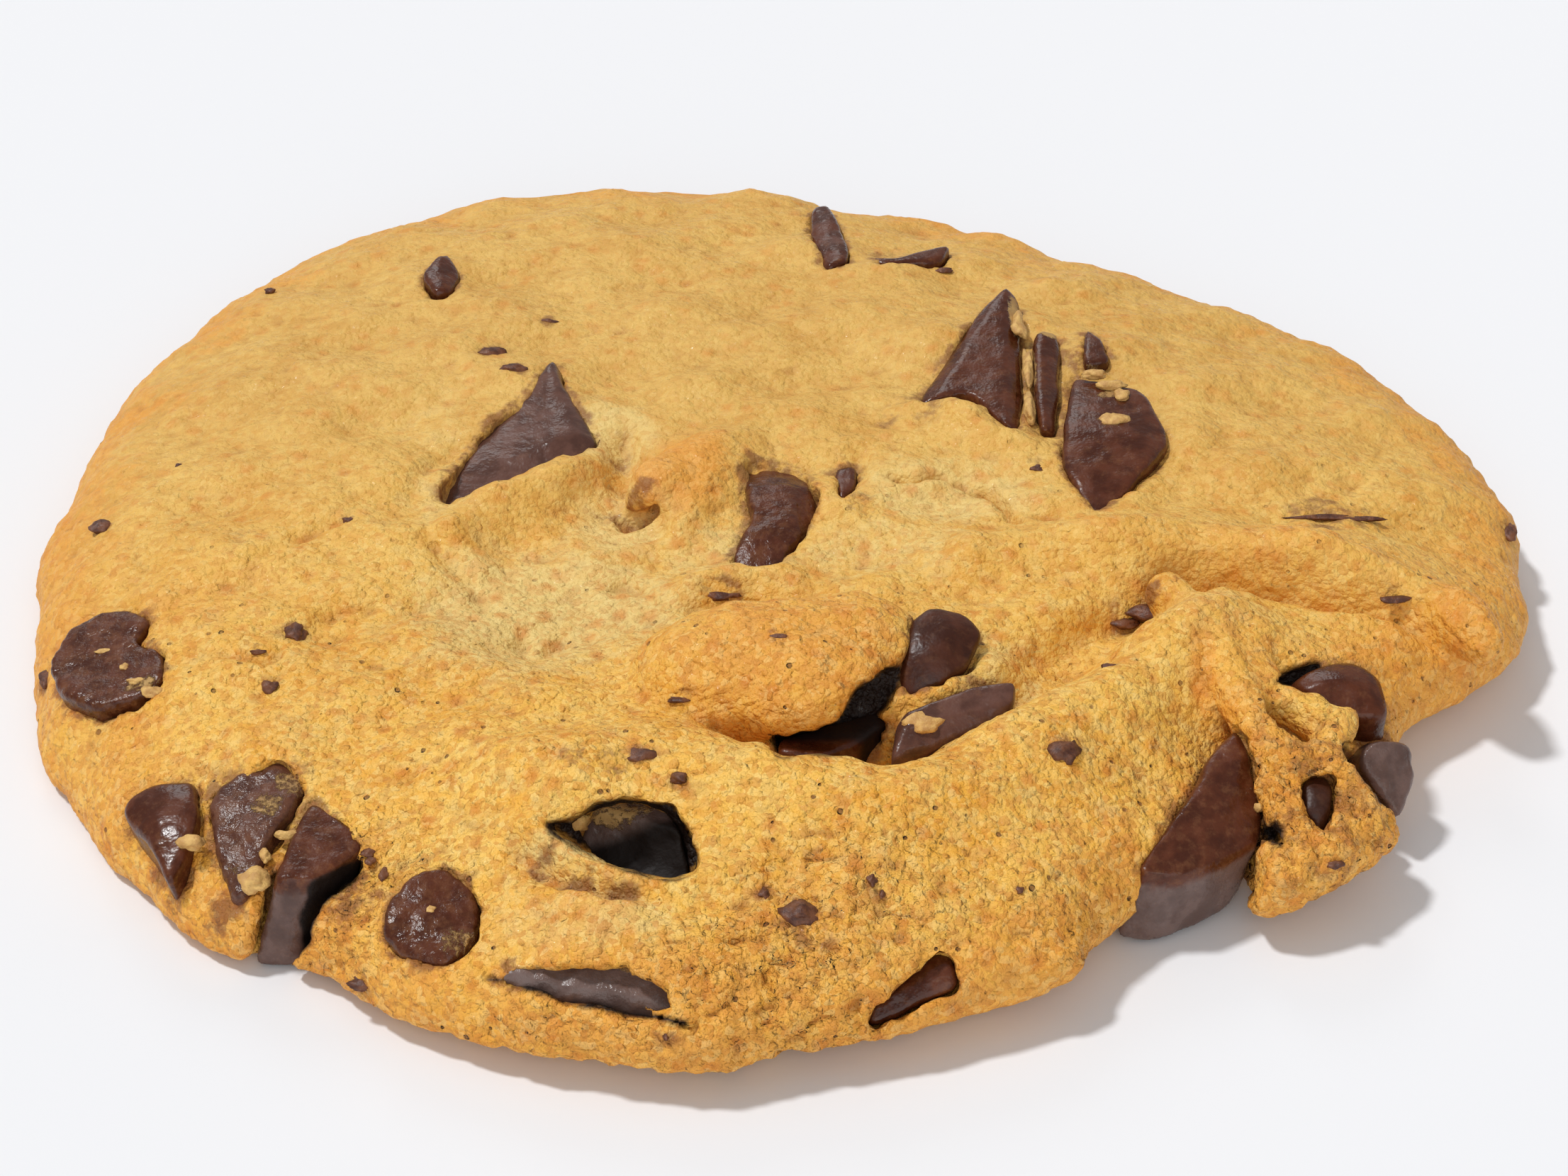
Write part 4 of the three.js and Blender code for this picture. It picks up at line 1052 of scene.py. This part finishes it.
# painted shade inside the pores
DOUGH_PORE_SHADE = (112, 58, 18)
# chocolate stain, also used as painted shade in creases and thin gaps
DOUGH_STAIN_AND_SHADE = (126, 70, 36)
DOUGH_SHADE = (26, 9, 3)
CHOCOLATE = ((68, 29, 13), (92, 45, 24))
CHOCOLATE_DUST = (138, 92, 60)
CHOCOLATE_EDGE = (140, 88, 48)
# painted sheen: the grey reflection of the pale floor on chocolate faces
CHOCOLATE_SHEEN = ((98, 78, 72), (118, 98, 92))
CHOCOLATE_SHADE = (18, 6, 3)
SMEARED_DOUGH = ((206, 166, 100), (168, 130, 80))
FLECK = ((74, 36, 22), (118, 70, 42))
CRUMB = ((228, 184, 108), (198, 150, 86))
FLOOR = (243, 244, 247)


def colour(red, green, blue):
    """A colour on screen as the shader wants it."""
    parts = [c / 255 for c in (red, green, blue)]
    return tuple(c / 12.92 if c < 0.04045 else ((c + 0.055) / 1.055) ** 2.4 for c in parts) + (1,)


class Nodes:
    """Short calls for building one material's nodes."""

    def __init__(self, name):
        self.material = bpy.data.materials.new(name)
        self.material.use_nodes = True
        self.tree = self.material.node_tree
        self.shader = self.tree.nodes["Principled BSDF"]
        self.place = self.add("ShaderNodeTexCoord").outputs["Object"]

    def add(self, kind, **settings):
        node = self.tree.nodes.new(kind)
        for key, value in settings.items():
            setattr(node, key, value)
        return node

    def plug(self, value, socket):
        if isinstance(value, bpy.types.NodeSocket):
            self.tree.links.new(value, socket)
        else:
            socket.default_value = value

    def mask(self, name):
        return self.add("ShaderNodeAttribute", attribute_name=name).outputs["Fac"]

    def math(self, operation, *values):
        node = self.add("ShaderNodeMath", operation=operation)
        for value, socket in zip(values, node.inputs):
            self.plug(value, socket)
        return node.outputs[0]

    def plus(self, a, b):
        return self.math("ADD", a, b)

    def minus(self, a, b):
        return self.math("SUBTRACT", a, b)

    def times(self, a, b):
        return self.math("MULTIPLY", a, b)

    def line(self, value, slope, start):
        return self.math("MULTIPLY_ADD", value, slope, start)

    def mix(self, share, a, b):
        node = self.add("ShaderNodeMix", data_type="RGBA")
        self.plug(share, node.inputs["Factor"])
        self.plug(a, node.inputs[6])
        self.plug(b, node.inputs[7])
        return node.outputs[2]

    def tint(self, share, base, tone):
        """The base with a share of another tone over it."""
        return self.mix(share, base, colour(*tone))

    def pair(self, share, tones):
        """Between two tones of one thing."""
        return self.mix(share, colour(*tones[0]), colour(*tones[1]))

    def noise(self, pitch, detail=2.0, rough=0.5):
        """Noise whose features are about pitch mm across."""
        node = self.add("ShaderNodeTexNoise")
        self.plug(self.place, node.inputs["Vector"])
        node.inputs["Scale"].default_value = 1000 / pitch
        node.inputs["Detail"].default_value = detail
        node.inputs["Roughness"].default_value = rough
        return node.outputs["Fac"]

    def channel(self, value, which):
        node = self.add("ShaderNodeSeparateColor")
        self.plug(value, node.inputs[0])
        return node.outputs[which]

    def cells(self, pitch, uneven=0.0):
        """Cells about pitch mm across, with their borders moved about by up to half of uneven mm."""
        place = self.place
        if uneven:
            noise = self.add("ShaderNodeTexNoise")
            self.plug(self.place, noise.inputs["Vector"])
            noise.inputs["Scale"].default_value = 600 / pitch
            moved = self.add("ShaderNodeVectorMath", operation="MULTIPLY_ADD")
            for value, socket in zip((noise.outputs["Color"], (uneven * MM,) * 3, self.place), moved.inputs):
                self.plug(value, socket)
            place = moved.outputs["Vector"]
        node = self.add("ShaderNodeTexVoronoi")
        self.plug(place, node.inputs["Vector"])
        node.inputs["Scale"].default_value = 1000 / pitch
        return node

    def step(self, low, high, value):
        node = self.add("ShaderNodeMapRange", interpolation_type="SMOOTHSTEP")
        self.plug(value, node.inputs["Value"])
        node.inputs["From Min"].default_value = low
        node.inputs["From Max"].default_value = high
        return node.outputs["Result"]

    def bump(self, height, depth, before=None):
        """A bump whose full height is depth mm."""
        node = self.add("ShaderNodeBump")
        node.inputs["Strength"].default_value = 1
        node.inputs["Distance"].default_value = depth * MM
        self.plug(height, node.inputs["Height"])
        if before is not None:
            self.plug(before, node.inputs["Normal"])
        return node.outputs["Normal"]


def dough_tones(n, near, mottle):
    """The golden base, paler and browner in places."""
    broad = n.step(0.36, 0.64, n.noise(6.5, 3.0))
    base = n.mix(near, n.pair(broad, DOUGH_FAR), n.pair(broad, DOUGH_NEAR))
    light = n.line(near, 0.15, 0.4)
    base = n.tint(n.times(mottle, light), base, DOUGH_LIGHT)
    pale = n.step(0.1, 0.9, n.plus(n.mask("pale"), n.line(mottle, 0.3, -0.15)))
    base = n.tint(n.times(pale, 0.85), base, DOUGH_PALE)
    brown = n.step(0.1, 1.0, n.plus(n.mask("brown"), n.line(mottle, 0.5, -0.25)))
    return n.tint(n.times(brown, 0.7), base, DOUGH_BROWN)


def dough_specks(n, base, near, grains):
    """Toasted spots, dark and light grains, and painted shade in the dips over the base."""
    spot = n.cells(1.6, uneven=1.0)
    chosen = n.math("GREATER_THAN", n.channel(spot.outputs["Color"], 0), 0.5)
    speck = n.times(chosen, n.step(0.5, 0.1, spot.outputs["Distance"]))
    strong = n.line(near, 0.25, 0.35)
    base = n.tint(n.times(speck, strong), base, DOUGH_SPOT)
    tone = n.channel(grains.outputs["Color"], 0)
    grain = n.times(n.step(0.4, 1.0, tone), n.line(near, 0.3, 0.15))
    base = n.tint(grain, base, DOUGH_DARK_GRAIN)
    grain = n.times(n.step(0.4, 0.0, tone), n.line(near, 0.15, 0.06))
    base = n.tint(grain, base, DOUGH_LIGHT_GRAIN)
    # painted shade: darker where the skin lies lower than its surroundings
    dip_shade = n.step(0.5, 0.05, n.mask("high"))
    return n.tint(n.times(dip_shade, 0.55), base, DOUGH_DIP_SHADE)


def dough_pores(n, near):
    """Small round pores of uneven width, near the front."""
    cells = n.cells(1.05)
    width = n.line(n.channel(cells.outputs["Color"], 1), 0.5, -0.27)
    inside = n.minus(width, cells.outputs["Distance"])
    return n.times(n.step(0.0, 0.1, inside), near)


def dough_material():
    n = Nodes("baked_dough")
    near = n.mask("near")
    mottle = n.step(0.35, 0.65, n.noise(1.6, 4.0, 0.65))
    grains = n.cells(0.42, uneven=0.5)
    pores = dough_pores(n, near)
    base = dough_specks(n, dough_tones(n, near, mottle), near, grains)
    # painted shade: the pores darkened as if their insides lay in shadow
    base = n.tint(n.times(pores, 0.8), base, DOUGH_PORE_SHADE)
    # chocolate stain, with painted shade in some creases and in the thin gaps round the chunks
    stain_and_shade = n.step(0.15, 0.95, n.plus(n.mask("stain_and_shade"), n.line(mottle, 0.8, -0.45)))
    base = n.tint(n.times(stain_and_shade, 0.75), base, DOUGH_STAIN_AND_SHADE)
    n.plug(n.tint(n.mask("shade"), base, DOUGH_SHADE), n.shader.inputs["Base Color"])
    glint = n.step(0.6, 0.7, n.noise(0.36, 2.0, 0.6))
    n.plug(n.line(glint, -0.38, 0.62), n.shader.inputs["Roughness"])
    n.shader.inputs["Specular IOR Level"].default_value = 0.4
    rise = n.plus(n.line(near, 0.5, 0.5), n.times(n.mask("crumbly"), 0.5))
    relief = n.bump(n.times(n.noise(0.9, 3.0, 0.6), rise), 0.6)
    rounded = n.minus(1.0, grains.outputs["Distance"])
    relief = n.bump(n.times(rounded, rise), 0.14, relief)
    relief = n.bump(n.minus(1.0, pores), 0.2, relief)
    n.plug(relief, n.shader.inputs["Normal"])
    return n.material


def chocolate_material():
    n = Nodes("melted_chocolate")
    cloud = n.step(0.35, 0.65, n.noise(1.8, 3.0, 0.6))
    base = n.pair(cloud, CHOCOLATE)
    dust = n.step(0.52, 0.78, n.line(n.mask("rough"), 0.14, n.noise(0.7, 4.0, 0.7)))
    base = n.tint(n.times(dust, 0.3), base, CHOCOLATE_DUST)
    ragged = n.noise(0.55, 4.0, 0.75)
    edge = n.times(n.mask("rim"), n.step(0.5, 0.7, ragged))
    base = n.tint(n.times(edge, 0.35), base, CHOCOLATE_EDGE)
    # painted sheen: faces lightened to grey as if reflecting the pale floor and the sky
    base = n.mix(n.mask("painted_sheen"), base, n.pair(cloud, CHOCOLATE_SHEEN))
    base = n.tint(n.mask("shade"), base, CHOCOLATE_SHADE)
    smear = n.step(0.55, 0.8, n.plus(n.mask("smear"), n.line(ragged, 1.2, -0.6)))
    base = n.mix(n.times(smear, 0.8), base, n.pair(cloud, SMEARED_DOUGH))
    n.plug(base, n.shader.inputs["Base Color"])
    shine = n.line(n.mask("shade"), 0.4, n.line(cloud, 0.12, 0.2))
    n.plug(n.line(smear, 0.3, shine), n.shader.inputs["Roughness"])
    n.shader.inputs["Specular IOR Level"].default_value = 0.34
    ridges = n.bump(n.noise(1.3, 3.0, 0.6), 0.12)
    ridges = n.bump(n.times(n.noise(0.4, 3.0, 0.6), n.mask("rough")), 0.1, ridges)
    n.plug(n.bump(smear, 0.12, ridges), n.shader.inputs["Normal"])
    return n.material


def bit_material(name, tones, pitch, roughness, grain, depth):
    """Two clouded tones over a finely uneven skin, for flecks and crumbs."""
    n = Nodes(name)
    n.plug(n.pair(n.step(0.35, 0.65, n.noise(pitch, 3.0, 0.6)), tones), n.shader.inputs["Base Color"])
    n.shader.inputs["Roughness"].default_value = roughness
    n.plug(n.bump(n.noise(grain, 3.0, 0.6), depth), n.shader.inputs["Normal"])
    return n.material


def floor_material():
    n = Nodes("pale_floor")
    n.shader.inputs["Base Color"].default_value = colour(*FLOOR)
    n.shader.inputs["Roughness"].default_value = 0.9
    n.shader.inputs["Specular IOR Level"].default_value = 0.1
    return n.material


# ---------------------------------------------------------------- stage

FLOOR_HALF = 3.0

# Lights: name, the way the light goes, strength, and how wide the sun looks in radians.
SUNS = [
    ("key", (0.5, -0.15, -1), 1.82, 0.12),
    ("fill", (-0.1, 1, -0.45), 0.9, 1),
    ("window", (0.2, -1, -0.66), 0.25, 0.35),
]
SKY_STRENGTH = 0.34

# The camera: focal length and sensor in mm, degrees above the floor, and in metres what it looks at
# and how far away that is.
CAMERA_LENS = 100
CAMERA_SENSOR = 36
CAMERA_ELEVATION = 35
CAMERA_AIM = (0.00009, -0.0048, 0.005)
CAMERA_DISTANCE = 0.29095


def make_sun(name, toward, energy, angle):
    light = bpy.data.lights.new(name, "SUN")
    light.energy = energy
    light.angle = angle
    sun = bpy.data.objects.new(name, light)
    sun.rotation_euler = Vector(toward).to_track_quat("-Z", "Y").to_euler()
    bpy.context.scene.collection.objects.link(sun)


def make_stage():
    floor = bpy.data.meshes.new("floor")
    corners = [(x * FLOOR_HALF, y * FLOOR_HALF, 0) for x, y in ((-1, -1), (1, -1), (1, 1), (-1, 1))]
    floor.from_pydata(corners, [], [(0, 1, 2, 3)])
    make_object("floor", floor, floor_material())

    for name, toward, energy, angle in SUNS:
        make_sun(name, toward, energy, angle)

    world = bpy.data.worlds.new("studio")
    world.use_nodes = True
    world.node_tree.nodes["Background"].inputs["Color"].default_value = (1, 1, 1, 1)
    world.node_tree.nodes["Background"].inputs["Strength"].default_value = SKY_STRENGTH
    bpy.context.scene.world = world
    bpy.context.scene.view_settings.view_transform = "Standard"


def make_camera():
    lens = bpy.data.cameras.new("camera")
    lens.lens = CAMERA_LENS
    lens.sensor_width = CAMERA_SENSOR
    camera = bpy.data.objects.new("camera", lens)
    elevation = math.radians(CAMERA_ELEVATION)
    back = Vector((0, -math.cos(elevation), math.sin(elevation)))
    camera.location = Vector(CAMERA_AIM) + back * CAMERA_DISTANCE
    camera.rotation_euler = (math.radians(90) - elevation, 0, 0)
    bpy.context.scene.collection.objects.link(camera)
    bpy.context.scene.camera = camera


# ---------------------------------------------------------------- the scene

make_stage()
make_camera()

dough = make_dough(dough_material())
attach(dough, "root")
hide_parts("dough")

chocolate = chocolate_material()
for chunk in CHUNKS:
    piece = make_chunk(chunk, chocolate)
    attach(piece, "root")
    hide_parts(chunk.name)

fleck = bit_material("chocolate_fleck", FLECK, 0.8, 0.5, 0.4, 0.1)
crumb = bit_material("dough_crumb", CRUMB, 0.6, 0.6, 0.35, 0.12)
for name, rows, material, kind in (
    ("chocolate_flecks", FLECKS, fleck, "chocolate"),
    ("dough_crumbs", CRUMBS, crumb, "dough"),
):
    bits = make_bits(name, rows, material)
    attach(bits, "root")
    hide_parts("dough")
